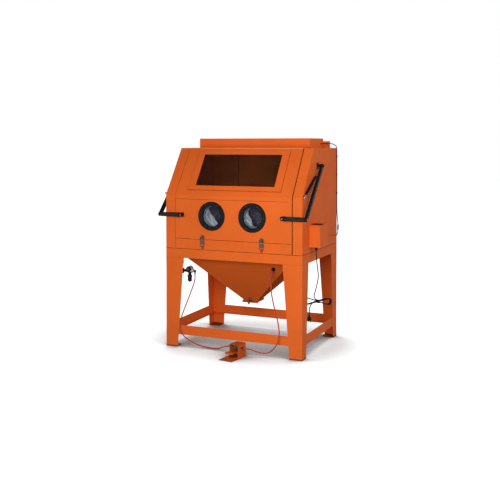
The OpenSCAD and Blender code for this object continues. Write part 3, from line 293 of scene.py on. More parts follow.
@dataclass(frozen=True)
class Finish:
    """A surface finish, made into a material once."""

    name: str
    tint: Colour
    gloss: float

    @cache
    def material(self) -> bpy.types.Material:
        """The finish's material, built the first time it is asked for."""
        shader = Shader(self.name)
        shader.set(Roughness=self.gloss)
        self.build(shader)
        return shader.material

    def build(self, shader: Shader) -> None:
        """Fills the shader; each finish has its own."""
        raise NotImplementedError

    def tones(self, low: float, high: float) -> tuple[Colour, Colour]:
        """A darker and a lighter tone of the finish's tint."""
        return shade(self.tint, low), shade(self.tint, high)


@dataclass(frozen=True)
class PowderCoat(Finish):
    """Powder coat on sheet: a fine peel, soft clouds, faint scuffs and a dark hem at the floor."""

    clouds: Cloud = Cloud(0.35, 4, (0.35, 0.65))
    cloud_tones: Span = (0.95, 1.04)
    scuffs: Cloud = Cloud(0.05, 6, (0.56, 0.74))
    scuff_share: float = 0.10
    scuff_tone: float = 0.75
    satin: Cloud = Cloud(0.012, 5)
    satin_change: Span = (-0.05, 0.09)
    peel: Cloud = Cloud(0.0022, 2)
    peel_depth: float = 0.00006
    hem_tint: Colour = (0.050, 0.024, 0.014)
    hem_share: float = 0.85
    hem: Span = (0.004, 0.016)
    shine: float = 0.025

    def build(self, shader: Shader) -> None:
        """Fills the shader."""
        coat = shader.cloudy(self.clouds, *self.tones(*self.cloud_tones))
        coat = shader.cloudy(self.scuffs, coat, shade(self.tint, self.scuff_tone), self.scuff_share)
        # Darker towards the floor, over the lowest 16 mm or so.
        low = shader.spread(shader.along("Z"), self.hem, (self.hem_share, 0))
        shader.set(Base_Color=shader.blend(low, coat, self.hem_tint), Specular_IOR_Level=self.shine)
        shader.rough(self.satin, self.gloss, self.satin_change)
        shader.relief(shader.noise(self.peel), self.peel_depth)


@dataclass(frozen=True)
class BoxPaint(PowderCoat):
    """Powder coat of the control box, whose switch bezel above the lid is black plastic."""

    lid: Span = (1.0582, 1.0585)
    bezel: Colour = (0.008, 0.008, 0.009)

    def build(self, shader: Shader) -> None:
        """Fills the shader."""
        super().build(shader)
        above = shader.spread(shader.along("Z"), self.lid)
        shader.set(Base_Color=shader.blend(above, shader.painted, self.bezel))


@dataclass(frozen=True)
class Plain(Finish):
    """Moulded plastic, rubber or satin paint: a fine grain, slight clouds and pale dust in patches."""

    clouds: Cloud = Cloud(0.06, 4, (0.35, 0.65))
    cloud_tones: Span = (0.85, 1.15)
    satin: Cloud = Cloud(0.06, 4)
    satin_change: Span = (-0.06, 0.08)
    patches: Cloud = Cloud(0.02, 6, (0.5, 0.75))
    dust: float = 0.012
    dust_tint: Colour = (0.30, 0.24, 0.19)
    grain: float = 0.0009
    grain_octaves: int = 2
    grain_depth: float = 0.00005
    shine: float = 0.08

    def build(self, shader: Shader) -> None:
        """Fills the shader."""
        base = shader.cloudy(self.clouds, *self.tones(*self.cloud_tones))
        dusty = shader.cloudy(self.patches, base, self.dust_tint, self.dust)
        shader.set(Base_Color=dusty, Specular_IOR_Level=self.shine)
        shader.rough(self.satin, self.gloss, self.satin_change)
        shader.relief(shader.noise(Cloud(self.grain, self.grain_octaves)), self.grain_depth)


@dataclass(frozen=True)
class RibbedGrip(Plain):
    """Soft grip with moulded ribs round it."""

    rib: float = 0.011
    rib_depth: float = 0.0012

    def build(self, shader: Shader) -> None:
        """Fills the shader."""
        super().build(shader)
        inputs = {"Vector": shader.place, "Scale": math.tau / (WAVE_RATE * self.rib)}
        wave = shader.node("ShaderNodeTexWave", inputs, bands_direction="X")
        shader.relief(wave.outputs["Fac"], self.rib_depth)


@dataclass(frozen=True)
class RegulatorCast(Plain):
    """The regulator: a bare cast bonnet and body over black fittings, foot and bracket."""

    cast: Colour = (0.62, 0.62, 0.64)
    metal: float = 0.6
    low: float = 0.640
    left: float = -0.4335
    right: float = -0.3680

    def build(self, shader: Shader) -> None:
        """Fills the shader."""
        super().build(shader)
        x, z = shader.along("X"), shader.along("Z")
        inside = shader.both(shader.spread(x, (self.left, self.left + PAINT_EDGE)),
                             shader.spread(x, (self.right, self.right + PAINT_EDGE), (1, 0)))
        bare = shader.both(inside, shader.spread(z, (self.low, self.low + PAINT_EDGE)))
        shader.set(Base_Color=shader.blend(bare, shader.painted, self.cast),
                   Metallic=shader.spread(bare, (0, 1), (0, self.metal)))


@dataclass(frozen=True)
class Plated(Finish):
    """Bare or plated metal with fine brush lines along one axis."""

    lines: Triple = (14, 1, 1)
    line_width: float = 0.0014
    line_octaves: int = 3
    line_depth: float = 0.00003
    line_change: Span = (-0.06, 0.10)
    stains: Cloud = Cloud(0.03, 5, (0.45, 0.75))
    stain: float = 0.25
    stain_tone: float = 0.55

    def build(self, shader: Shader) -> None:
        """Fills the shader."""
        stained = shader.cloudy(self.stains, self.tint, shade(self.tint, self.stain_tone), self.stain)
        shader.set(Base_Color=stained, Metallic=1.0)
        brush = Cloud(self.line_width, self.line_octaves, stretch=self.lines)
        shader.rough(brush, self.gloss, self.line_change)
        shader.relief(shader.noise(brush), self.line_depth)


@dataclass(frozen=True)
class Glazing(Finish):
    """Clear sheet with a thin film of dust that grit has frosted in places."""

    haze: Cloud = Cloud(0.09, 6, (0.35, 0.7))
    haze_tone: float = 0.86
    frost: Cloud = Cloud(0.09, 6, (0.4, 0.75))
    frost_change: Span = (0.0, 0.06)
    bend: float = 1.40

    def build(self, shader: Shader) -> None:
        """Fills the shader."""
        shader.rough(self.frost, self.gloss, self.frost_change)
        hazy = shader.cloudy(self.haze, self.tint, shade(self.tint, self.haze_tone))
        shader.set(Base_Color=hazy, Transmission_Weight=1.0, IOR=self.bend)


@dataclass(frozen=True)
class GloveRubber(Finish):
    """Soft coated glove cloth, grey-blue where it folds in behind the port and darker blue further in, as
    painted shade of the sleeve's recess; darker streaks are painted shade in its creases and lighter streaks
    painted highlights on its folds.
    """

    # deep is the darker colour further in, painted shade of the recess; edge gives the depths where it takes
    # over.
    deep: Colour = (0.062, 0.062, 0.084)
    edge: Span = (-0.3865, -0.3775)
    mottle: Cloud = Cloud(0.016, 6, (0.35, 0.68))
    mottle_tones: Span = (0.82, 1.12)
    satin: Cloud = Cloud(0.016, 6)
    satin_change: Span = (-0.08, 0.10)
    creases: Cloud = Cloud(0.0075, 4, (0.50, 0.60), (8, 3, 1), (0, math.radians(54), 0))
    crease_shade_tone: float = 0.26
    crease_shade_share: float = 0.75
    crease_depth: float = 0.0030
    fold_highlights: Cloud = Cloud(0.0075, 4, (0.50, 0.66), (8, 3, 1), (0, math.radians(54), 0))
    fold_highlight_tone: float = 2.6
    fold_highlight_share: float = 0.8
    weave: Cloud = Cloud(0.0008, 2)
    weave_depth: float = 0.00008
    shine: float = 0.12

    def build(self, shader: Shader) -> None:
        """Fills the shader."""
        # Painted light and shade: grey-blue near the port, darker further in, with painted shade in the
        # creases and painted highlights on the folds.
        pale = shader.cloudy(self.mottle, *self.tones(*self.mottle_tones))
        pale = shader.cloudy(self.creases, pale, shade(self.tint, self.crease_shade_tone), self.crease_shade_share)
        dark = shader.cloudy(self.fold_highlights, self.deep, shade(self.deep, self.fold_highlight_tone), self.fold_highlight_share)
        shade_inwards = shader.spread(shader.along("Y"), self.edge)
        shader.set(Base_Color=shader.blend(shade_inwards, pale, dark), Specular_IOR_Level=self.shine)
        shader.rough(self.satin, self.gloss, self.satin_change)
        shader.relief(shader.noise(self.creases), self.crease_depth)
        shader.relief(shader.noise(self.weave), self.weave_depth)


PAINT: Colour = (0.80, 0.142, 0.022)
COAT = 0.56
UPRIGHT = (1, 1, 12)
EVEN = (1, 1, 1)
ORANGE = PowderCoat("orange_powder_coat", PAINT, COAT)
BOX_ORANGE = BoxPaint("box_powder_coat", PAINT, COAT)
PEDAL_ORANGE = PowderCoat("pedal_powder_coat", shade(PAINT, 0.66), COAT, hem=(0.0030, 0.0038))
# Painted shade: a darker copy of the orange paint for the hopper's gate and collar, the latch keepers and the
# stand bolts, standing in for the shade on them.
SHADED_ORANGE = PowderCoat("shaded_powder_coat", shade(PAINT, 0.55), COAT)
# Painted shade: the hopper's coat is darker because it sits in the shade under the cabinet.
HOPPER_SHADED_ORANGE = PowderCoat("hopper_shaded_coat", shade(PAINT, 0.88), COAT, shine=0.0)
# A darker orange for the dark joint lines on the legs and for the painted shade strip round the window frame.
SEAM_AND_SHADE_ORANGE = PowderCoat("seam_and_shade_coat", shade(PAINT, 0.52), COAT)
# Painted highlight: a paler, glossier orange for the strip along the door's top fold.
FOLD_HIGHLIGHT_ORANGE = PowderCoat("fold_highlight_coat", (0.80, 0.30, 0.13), 0.45)
BLACK_PAINT = Plain("black_satin_paint", (0.009, 0.0085, 0.008), 0.45, grain=0.0015)
BLACK_PLASTIC = Plain("black_moulded_plastic", (0.009, 0.009, 0.010), 0.5)
SMOKED = Plain("smoked_bowl", (0.008, 0.008, 0.009), 0.18, grain_depth=0.00001, dust=0.02)
GRIP = RibbedGrip("grip_foam", (0.030, 0.021, 0.016), 0.75, grain=0.0018, grain_depth=0.0002)
SEAL = Plain("seal_rubber", (0.010, 0.008, 0.007), 0.72)
CAP = Plain("grey_cap", (0.075, 0.085, 0.085), 0.5)
ZINC = Plated("zinc_plate", (0.34, 0.34, 0.34), 0.40, lines=UPRIGHT)
LATCH = Plated("latch_steel", (0.115, 0.082, 0.062), 0.42, lines=UPRIGHT, stain=0.9)
CHROME = Plated("polished_rod", (0.70, 0.71, 0.72), 0.14, stain=0.08)
ALLOY = Plated("bare_casting", (0.42, 0.42, 0.43), 0.46, lines=EVEN, stain=0.4)
VALVE = Plated("valve_body", (0.11, 0.10, 0.095), 0.45, lines=EVEN, stain=0.5)
REGULATOR = RegulatorCast("regulator_cast", (0.009, 0.009, 0.009), 0.42)
GRATE = Plated("grate_steel", (0.40, 0.39, 0.38), 0.5, lines=(12, 1, 1), stain=0.6)
GLASS = Glazing("window_pane", (0.66, 0.78, 0.68), 0.03)
LENS = Plain("milky_lens", (0.78, 0.80, 0.80), 0.35, grain_depth=0.00001, dust=0.08)
GLOVE = GloveRubber("glove_cloth", (0.34, 0.37, 0.44), 0.55)
RED = Plain("hose_jacket", (0.49, 0.068, 0.042), 0.50, grain=0.002, grain_depth=0.00002, shine=0.04)
CORD = Plain("black_sheath", (0.010, 0.011, 0.012), 0.5, grain_depth=0.00003)

SLOT_FINISH: dict[Slot, Finish] = {
    Slot.ORANGE: ORANGE, Slot.BLACK_STEEL: BLACK_PAINT, Slot.BLACK_PLASTIC: BLACK_PLASTIC,
    Slot.SMOKED: SMOKED, Slot.GRIP: GRIP, Slot.ZINC: ZINC, Slot.CHROME: CHROME, Slot.ALLOY: ALLOY,
    Slot.GLASS: GLASS, Slot.LAMP: LENS, Slot.GLOVE: GLOVE, Slot.RED_HOSE: RED, Slot.CORD: CORD,
}
NODE_FINISH: dict[str, Finish] = {
    "control_box": BOX_ORANGE, "work_grate": GRATE, "regulator": REGULATOR, "pedal_base": PEDAL_ORANGE,
    "pedal_treadle": PEDAL_ORANGE, "pedal_valve": VALVE, "hopper": HOPPER_SHADED_ORANGE,
    "hopper_gate": SHADED_ORANGE, "hopper_collar": SHADED_ORANGE, "latch_keepers": SHADED_ORANGE,
    "gate_latch": LATCH, "latch_bases": LATCH, "latch_lever_left": LATCH, "latch_lever_right": LATCH,
    "latch_loop_left": LATCH, "latch_loop_right": LATCH, "strut_studs": LATCH,
}


def dress_nodes(frame: dict) -> None:
    """Gives every CAD node its own finish or that of its slot.
    """
    for entry in frame["record"]["subparts"]:
        name = entry["node"]
        finish = NODE_FINISH.get(name) or SLOT_FINISH[Slot(entry["material_slot"])]
        mesh = frame["nodes"][name].data
        mesh.materials.clear()
        mesh.materials.append(finish.material())


def add_piece(data: bpy.types.ID, finish: Finish, body: Body, slot: Slot, *nodes: str) -> bpy.types.Object:
    """Puts a finished piece into the scene and ties it to a body.

    Args:
        data: its mesh or curve, already in place, which gives the piece its name.
        finish: its finish.
        body: the body that it rides on.
        slot: the record's slot that its finish comes from; not used.
        nodes: CAD nodes that it stands for.

    Returns:
        The new object.
    """
    piece = bpy.data.objects.new(data.name, data)
    bpy.context.scene.collection.objects.link(piece)
    data.materials.clear()
    data.materials.append(finish.material())
    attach(piece, body.value)
    if nodes:
        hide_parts(*nodes)
    log.info("%s rides on %s", piece.name, body.value)
    return piece


class Blank:
    """A mesh under construction, from boxes and lofted rings."""

    def __init__(self) -> None:
        """Starts empty."""
        self.bm = bmesh.new()

    def box(self, corner: Sequence[float], opposite: Sequence[float]) -> None:
        """Adds an upright box between two opposite corners."""
        a, b = Vector(corner), Vector(opposite)
        size = [abs(side) for side in b - a]
        place = Matrix.Translation((a + b) / 2) @ Matrix.Diagonal((*size, 1.0))
        bmesh.ops.create_cube(self.bm, size=1.0, matrix=place)

    def loft(self, rings: Sequence[Sequence[Vector]], caps: Sequence[int] = (),
             closed: bool = False) -> None:
        """Adds the skin over a row of rings.

        Args:
            rings: the rings, each with the same number of points.
            caps: which rings are filled in, 0 for the first and -1 for the last.
            closed: whether the last ring joins the first again.
        """
        made = [[self.bm.verts.new(point) for point in ring] for ring in rings]
        following = made[1:] + made[:1] if closed else made[1:]
        for low, high in zip(made, following):
            for k in range(len(low)):
                m = (k + 1) % len(low)
                self.bm.faces.new((low[k], low[m], high[m], high[k]))
        for end in caps:
            self.bm.faces.new(made[end])

    def mesh(self, name: str, smooth: bool = False) -> bpy.types.Mesh:
        """Ends the work and gives the mesh, with its faces outwards.

        Args:
            name: the mesh's name.
            smooth: whether faces are shaded smooth.

        Returns:
            The mesh.
        """
        bmesh.ops.recalc_face_normals(self.bm, faces=self.bm.faces)
        for face in self.bm.faces:
            face.smooth = smooth
        mesh = bpy.data.meshes.new(name)
        self.bm.to_mesh(mesh)
        self.bm.free()
        return mesh


def spline(points: Route, steps: int = SPAN_STEPS) -> list[Vector]:
    """A smooth curve through points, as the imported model's own tubes follow it.

    Args:
        points: the route's points.
        steps: how many pieces each span is cut into.

    Returns:
        The points along the curve.
    """
    p = [Vector(q) for q in points]
    last = len(p) - 1
    found = []
    for i in range(last):
        a, b, c, d = p[max(i - 1, 0)], p[i], p[i + 1], p[min(i + 2, last)]
        for j in range(steps):
            t = j / steps
            found.append(0.5 * (2 * b + (c - a) * t + (2 * a - 5 * b + 4 * c - d) * t**2
                                + (3 * b - a - 3 * c + d) * t**3))
    return found + [p[last]]


def run_length(points: Sequence[Vector]) -> float:
    """The length of a line of points."""
    return sum((b - a).length for a, b in zip(points, points[1:]))


def box_middle(node: str) -> Vector:
    """The middle of a CAD node's box."""
    low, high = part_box(node)
    return (low + high) / 2


def part_way(value: float, start: float, end: float) -> float:
    """How far a value has come from a start to an end, held between 0 and 1."""
    return min(1.0, max(0.0, (value - start) / (end - start)))


def tube_curve(name: str, points: Sequence[Vector], radius: float, far_radius: float | None = None,
               closed: bool = False) -> bpy.types.Curve:
    """A round tube along points.

    Args:
        name: the curve's name.
        points: the centre line.
        radius: the tube's radius at its start.
        far_radius: its radius at its end, if it tapers.
        closed: whether the end joins the start.

    Returns:
        The curve.
    """
    curve = bpy.data.curves.new(name, "CURVE")
    curve.dimensions = "3D"
    curve.bevel_depth = radius
    curve.bevel_resolution = TUBE_ROUNDNESS
    curve.use_fill_caps = True
    line = curve.splines.new("POLY")
    line.points.add(len(points) - 1)
    growth = (far_radius or radius) / radius - 1
    for k, (place, point) in enumerate(zip(line.points, points)):
        place.co = (*point, 1.0)
        place.radius = 1 + growth * k / (len(points) - 1)
    line.use_smooth = True
    line.use_cyclic_u = closed
    return curve


@dataclass(frozen=True)
class Cabinet:
    """The cabinet's driving sizes, which the dressed pieces follow.

    Attributes:
        sill_z: the top of the sill under the door.
        ring_y: the front of the glove rings.
        kink_z: the height where the front bends back.
        slope_run: how far the sloped front goes back.
        seam_z: the lower edge of the seam under the slope.
        jamb_w: the width of the jambs beside the door.
        stop_off: how far the door's stops lie behind the front.
        flange_top: the height where the jambs' flanges end.
    """

    half_w: float
    front_y: float
    back_y: float
    stand_h: float
    roof_z: float
    sheet: float
    door_half: float
    door_z: float
    sill_z: float
    port_x: float
    port_z: float
    ring_r: float
    ring_y: float
    port_r: float = 0.085
    kink_z: float = 1.286
    slope_run: float = 0.275
    seam_z: float = 1.250
    jamb_w: float = 0.085
    stop_off: float = 0.023
    flange_top: float = 1.591

    @classmethod
    def from_frame(cls) -> "Cabinet":
        """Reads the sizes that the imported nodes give.

        Returns:
            The cabinet.
        """
        side_low, side_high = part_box("side_right")
        door_low, door_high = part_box("door_panel")
        ring_low, ring_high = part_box("glove_rings")
        ring_r = (ring_high.z - ring_low.z) / 2
        return cls(
            half_w=side_high.x, front_y=side_low.y, back_y=side_high.y,
            stand_h=side_low.z, roof_z=side_high.z, sheet=side_high.x - side_low.x,
            door_half=door_high.x, door_z=door_low.z, sill_z=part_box("sill_panel")[1].z,
            port_x=ring_high.x - ring_r, port_z=ring_low.z + ring_r, ring_r=ring_r, ring_y=ring_low.y)

    @property
    def slope(self) -> float:
        """The angle of the sloped front above the horizontal, in radians."""
        return math.atan2(self.roof_z - self.kink_z, self.slope_run)

    def on_slope(self, x: float, up: float, out: float) -> Vector:
        """A point on the sloped front.

        Args:
            x: across.
            up: along the slope from the bend.
            out: outwards from the sheet.

        Returns:
            The point in the frame.
        """
        a = self.slope
        return Vector((x, self.front_y + up * math.cos(a) - out * math.sin(a),
                       self.kink_z + up * math.sin(a) + out * math.cos(a)))

    def bent_line(self, x: float, depth: float, low: float, high: float) -> list[Vector]:
        """The bent line of the front at a depth behind its face.

        Args:
            x: across.
            depth: behind the face.
            low: the height where it starts.
            high: the height where it ends.

        Returns:
            Its three points.
        """
        a = self.slope
        bend = self.kink_z + depth * (math.sin(a) - 1) / math.cos(a)
        top_y = self.front_y + (high - self.kink_z) / math.tan(a) + depth / math.sin(a)
        return [Vector((x, self.front_y + depth, low)), Vector((x, self.front_y + depth, bend)),
                Vector((x, top_y, high))]


@dataclass
class AirHose:
    """One red air hose between two fittings."""

    name: str
    node: str
    route: Route
    diameter: float = 0.010
    sleeve_l: float = 0.125
    sleeve_r: float = 0.0115
    sleeve_wall: float = 0.0006

    def build(self) -> None:
        line = spline(self.route)
        curve = tube_curve(self.name, line, self.diameter / 2)
        hose = add_piece(curve, RED, Body.ROOT, Slot.RED_HOSE, self.node)
        run_length(line)

    def end_sleeve(self, name: str) -> None:
        """Makes the tapered bend sleeve over the hose's far end.

        Args:
            name: the sleeve's name.
        """
        line = spline(self.route)
        while run_length(line[1:]) > self.sleeve_l:
            line = line[1:]
        curve = tube_curve(name, line[:-1], self.diameter / 2 + self.sleeve_wall, self.sleeve_r)
        add_piece(curve, RED, Body.ROOT, Slot.RED_HOSE)


@dataclass
class PowerCord:
    """The power cord: a drop from the gland, a tied hank and a short tail to the plug.

    Attributes:
        straight: how far it comes straight out of the gland.
        half: half the length of the hank's runs.
        waist: half the hank's width at its tie.
        bulge: what its loops add to that at their ends.
        step: the distance from loop to loop.
        into_hank: offsets of the points before the hank from its start, in the hank's directions.
        out_of_hank: offsets of the points after the hank from its end.
    """

    diameter: float = 0.008
    gland: Triple = (0.655, -0.245, 0.853)
    straight: float = 0.023
    hank_at: Triple = (0.660, -0.222, 0.437)
    turn: float = math.radians(50)
    droop: float = math.radians(-6)
    half: float = 0.125
    waist: float = 0.0055
    bulge: float = 0.055
    step: float = 0.009
    loops: float = 3.5
    per_loop: int = 36
    drop: Route = (
        (0.655, -0.238, 0.780), (0.654, -0.210, 0.705), (0.653, -0.186, 0.643), (0.651, -0.194, 0.600),
        (0.648, -0.216, 0.556), (0.644, -0.240, 0.516), (0.641, -0.258, 0.484))
    into_hank: Route = ((-0.028, 0.009, 0.0), (-0.008, 0.0, 0.0))
    out_of_hank: Route = ((-0.008, 0.0, 0.0), (-0.026, -0.004, 0.004))
    tail: Route = (
        (0.613, -0.247, 0.411), (0.605, -0.255, 0.392), (0.602, -0.259, 0.370), (0.602, -0.260, 0.346),
        (0.602, -0.260, 0.336), (0.602, -0.260, 0.328))

    def axes(self) -> tuple[Vector, Vector, Vector]:
        """The hank's directions: along its runs, across its plane and sideways."""
        level = math.cos(self.droop)
        along = Vector((math.cos(self.turn) * level, math.sin(self.turn) * level, math.sin(self.droop)))
        side = Vector((-math.sin(self.turn), math.cos(self.turn), 0))
        return along, side.cross(-along), side

    def hank(self) -> list[Vector]:
        """The hank's centre line, loop beside loop and drawn in at the waist."""
        along, across, side = self.axes()
        found = []
        for i in range(round(self.loops * self.per_loop) + 1):
            turned = i / self.per_loop
            a = math.pi / 2 - math.tau * turned
            width = self.waist + self.bulge * math.cos(a) ** 2
            found.append(Vector(self.hank_at) + self.half * math.cos(a) * along
                         + math.sin(a) * width * across + self.step * (turned - self.loops / 2) * side)
        return found

    def beside(self, start: Vector, offsets: Route) -> list[Vector]:
        """Points at offsets from a start, in the hank's directions."""
        axes = self.axes()
        return [sum((part * axis for part, axis in zip(offset, axes)), start) for offset in offsets]

    def line(self) -> list[Vector]:
        """The whole centre line, from the gland to the plug."""
        hank = self.hank()
        first, last = hank[0], hank[-1]
        top = Vector(self.gland)
        below = top - Vector((0, 0, self.straight))
        drop = [top, below, *self.drop, *self.beside(first, self.into_hank), first]
        tail = [last, *self.beside(last, self.out_of_hank), *self.tail]
        return spline(drop)[:-1] + hank + spline(tail)[1:]

    def build(self) -> None:
        line = self.line()
        curve = tube_curve("power_cord", line, self.diameter / 2)
        cord = add_piece(curve, CORD, Body.ROOT, Slot.CORD, "cord_runs", "cord_hank")
        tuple(line[0])
        run_length(line)


@dataclass
class LampLead:
    """The lead from the light box to the control box, held by clips and, low on the side, under a cover."""

    cabinet: Cabinet
    radius: float = 0.0035
    clips: Route = ((0.4455, 1.600), (0.446, 1.440), (0.446, 1.280))
    clip: Triple = (0.0095, 0.016, 0.010)
    clip_round: float = 0.0015
    cover_from: int = 17
    cover_radius: float = 0.0046
    relief: Span = (0.945, 0.992)
    relief_radius: float = 0.0066
    route: Route = (
        (0.517, 0.276, 1.713), (0.525, 0.276, 1.713), (0.539, 0.278, 1.713), (0.566, 0.304, 1.716),
        (0.590, 0.350, 1.714), (0.606, 0.394, 1.704), (0.6148, 0.424, 1.688), (0.6138, 0.440, 1.662),
        (0.6138, 0.445, 1.610), (0.6138, 0.446, 1.500), (0.6138, 0.446, 1.380), (0.6138, 0.446, 1.260),
        (0.6138, 0.447, 1.150), (0.6148, 0.454, 1.080), (0.6188, 0.467, 1.000), (0.6178, 0.462, 0.935),
        (0.6148, 0.444, 0.904), (0.6138, 0.400, 0.905), (0.6138, 0.310, 0.916), (0.6138, 0.200, 0.926),
        (0.6138, 0.080, 0.931), (0.6138, -0.030, 0.934), (0.6138, -0.075, 0.935), (0.6138, -0.085, 0.935))

    def saddles(self) -> None:
        """Small black clips over the lead along the rear edge."""
        blank = Blank()
        wall = self.cabinet.half_w
        out, deep, tall = self.clip
        for y, z in self.clips:
            blank.box((wall, y - deep / 2, z - tall / 2), (wall + out, y + deep / 2, z + tall / 2))
        edges = blank.bm.edges[:]
        bmesh.ops.bevel(blank.bm, geom=edges, offset=self.clip_round, segments=2, affect="EDGES")
        add_piece(blank.mesh("lead_clips", smooth=True), BLACK_PLASTIC, Body.ROOT, Slot.BLACK_PLASTIC)

    def sleeves(self, line: Sequence[Vector]) -> None:
        """The painted cover over the low run and the relief where the lead bends out at the rear edge.

        Args:
            line: the lead's centre line.
        """
        low = spline(self.route[self.cover_from:-1])
        cover = tube_curve("lead_cover", low, self.cover_radius)
        add_piece(cover, ORANGE, Body.ROOT, Slot.ORANGE)
        bend = [q for q in line if self.relief[0] <= q.z <= self.relief[1] and q.x > self.cabinet.half_w]
        sleeve = tube_curve("lead_relief", bend, self.relief_radius)
        add_piece(sleeve, BLACK_PLASTIC, Body.ROOT, Slot.BLACK_PLASTIC)

    def build(self) -> None:
        """Makes the lead in place of its faceted node, with its clips and sleeves."""
        line = spline(self.route)
        curve = tube_curve("lamp_lead_tube", line, self.radius)
        add_piece(curve, CORD, Body.ROOT, Slot.CORD, "lamp_lead")
        self.saddles()
        self.sleeves(line)


@dataclass(frozen=True)
class SleeveFold:
    """How one sleeve folds in behind its port: towards which angle, and how far in radii."""

    name: str
    node: str
    side: int
    angle: float
    reach: float


@dataclass
class Gloves:
    """The two gloves: sleeves clamped on the port spigots, folded in behind the ports and hanging inside.

    Attributes:
        line: the sleeve's middle, as depth behind the front and height from the port's middle.
        radii: the sleeve's radius at each of those points.
        fold_depths: the depths where the fold starts, is full and ends.
        gone: the share of the fold that is gone at its end.
        clear: where the fold's edge starts, in radii outside the ring.
        ripples: each wave of that edge: its height, and its rates along the edge and with the fold.
        slack: how much the folded sleeve draws in, and the rates of its waves round the ring and in depth.
    """

    cabinet: Cabinet
    sides: int = 144
    line: Route = ((0.010, 0), (0.0505, 0), (0.062, 0), (0.076, 0), (0.092, -0.004), (0.112, -0.012),
                   (0.142, -0.032), (0.175, -0.066), (0.200, -0.106), (0.214, -0.142), (0.219, -0.160))
    radii: Sequence[float] = (0.0925, 0.0925, 0.0925, 0.091, 0.088, 0.083,
                              0.074, 0.062, 0.050, 0.038, 0.016)
    fold_depths: Triple = (0.0505, 0.0755, 0.150)
    gone: float = 0.75
    clear: float = 1.15
    ripples: Route = ((0.03, 9, 14), (0.018, 23, -6))
    slack: Triple = (0.04, 5, 30)
    corner: float = 0.10
    wall: float = 0.0025
    cuff: Span = (0.024, 0.0500)
    cuff_r: float = 0.0846
    cuff_wall: float = 0.0012
    folds: Sequence[SleeveFold] = (
        SleeveFold("glove_sleeve_left", "glove_left", -1, math.radians(38), -0.26),
        SleeveFold("glove_sleeve_right", "glove_right", 1, math.radians(24), -0.54))

    def folded(self, depth: float) -> float:
        """How far the fold has come in at a depth behind the front, from 0 to 1."""
        start, full, end = self.fold_depths
        fall = part_way(depth, full, end)
        return part_way(depth, start, full) * (1 - self.gone * fall * fall * (3 - 2 * fall))

    def ring(self, centre: Vector, ahead: Vector, radius: float, fold: SleeveFold) -> list[Vector]:
        """One ring of the sleeve, whose lower outer part is pushed in to a slanting line.

        Args:
            centre: the ring's middle.
            ahead: the direction of the sleeve there.
            radius: the ring's radius.
            fold: the sleeve's fold.

        Returns:
            The ring's points.
        """
        across = Vector((1, 0, 0))
        up = across.cross(ahead).normalized()
        depth = centre.y - self.cabinet.front_y
        share = self.folded(depth)
        line = -self.clear + (fold.reach + self.clear) * share
        way = Vector((math.cos(fold.angle), math.sin(fold.angle)))
        edge = Vector((-way.y, way.x))
        slack, round_rate, depth_rate = self.slack
        points = []
        for k in range(self.sides):
            a = math.tau * k / self.sides
            spot = Vector((math.cos(a), math.sin(a)))
            push, slide = spot.dot(way), spot.dot(edge)
            ripple = sum(high * math.sin(rate * slide + turn * share) for high, rate, turn in self.ripples)
            limit = line + share * ripple
            pushed = 0.5 * (push + limit + math.hypot(push - limit, self.corner * share))
            if share > 0:
                spot = pushed * way + slide * edge
            drawn = 1 - slack * share * (1 + math.sin(round_rate * a + depth_rate * depth))
            points.append(centre + radius * drawn * (spot.x * across + spot.y * up))
        return points

    def sleeve(self, fold: SleeveFold) -> None:
        """Makes one glove.

        Args:
            fold: which glove it is and how it folds.
        """
        c = self.cabinet
        x = fold.side * c.port_x
        centres = spline([(x, c.front_y + y, c.port_z + z) for y, z in self.line])
        radii = [v.x for v in spline([(r, 0, 0) for r in self.radii])]
        aheads = [(b - a).normalized() for a, b in zip(centres[:1] + centres, centres[1:] + centres[-1:])]
        blank = Blank()
        blank.loft([self.ring(*at, fold) for at in zip(centres, aheads, radii)], caps=(-1,))
        mesh = blank.mesh(fold.name, smooth=True)
        glove = add_piece(mesh, GLOVE, Body.DOOR, Slot.GLOVE, fold.node)
        shell = glove.modifiers.new("wall", "SOLIDIFY")
        shell.thickness = self.wall
        shell.offset = -1.0

    def cuffs(self) -> None:
        """Makes the turned-in cuffs that line the ports' inner walls."""
        c = self.cabinet
        front, back = self.cuff
        outer, inner = self.cuff_r, self.cuff_r - self.cuff_wall
        profile = ((outer, front), (inner, front + self.cuff_wall), (inner, back), (outer, back))
        blank = Blank()
        for fold in self.folds:
            middle = Vector((fold.side * c.port_x, c.front_y, c.port_z))
            turns = [math.tau * k / self.sides for k in range(self.sides)]
            blank.loft([[middle + Vector((r * math.cos(a), depth, r * math.sin(a))) for r, depth in profile]
                        for a in turns], closed=True)
        add_piece(blank.mesh("glove_cuffs", smooth=True), GLOVE, Body.DOOR, Slot.GLOVE)

    def build(self) -> None:
        """Makes both gloves and their cuffs."""
        for fold in self.folds:
            self.sleeve(fold)
        self.cuffs()


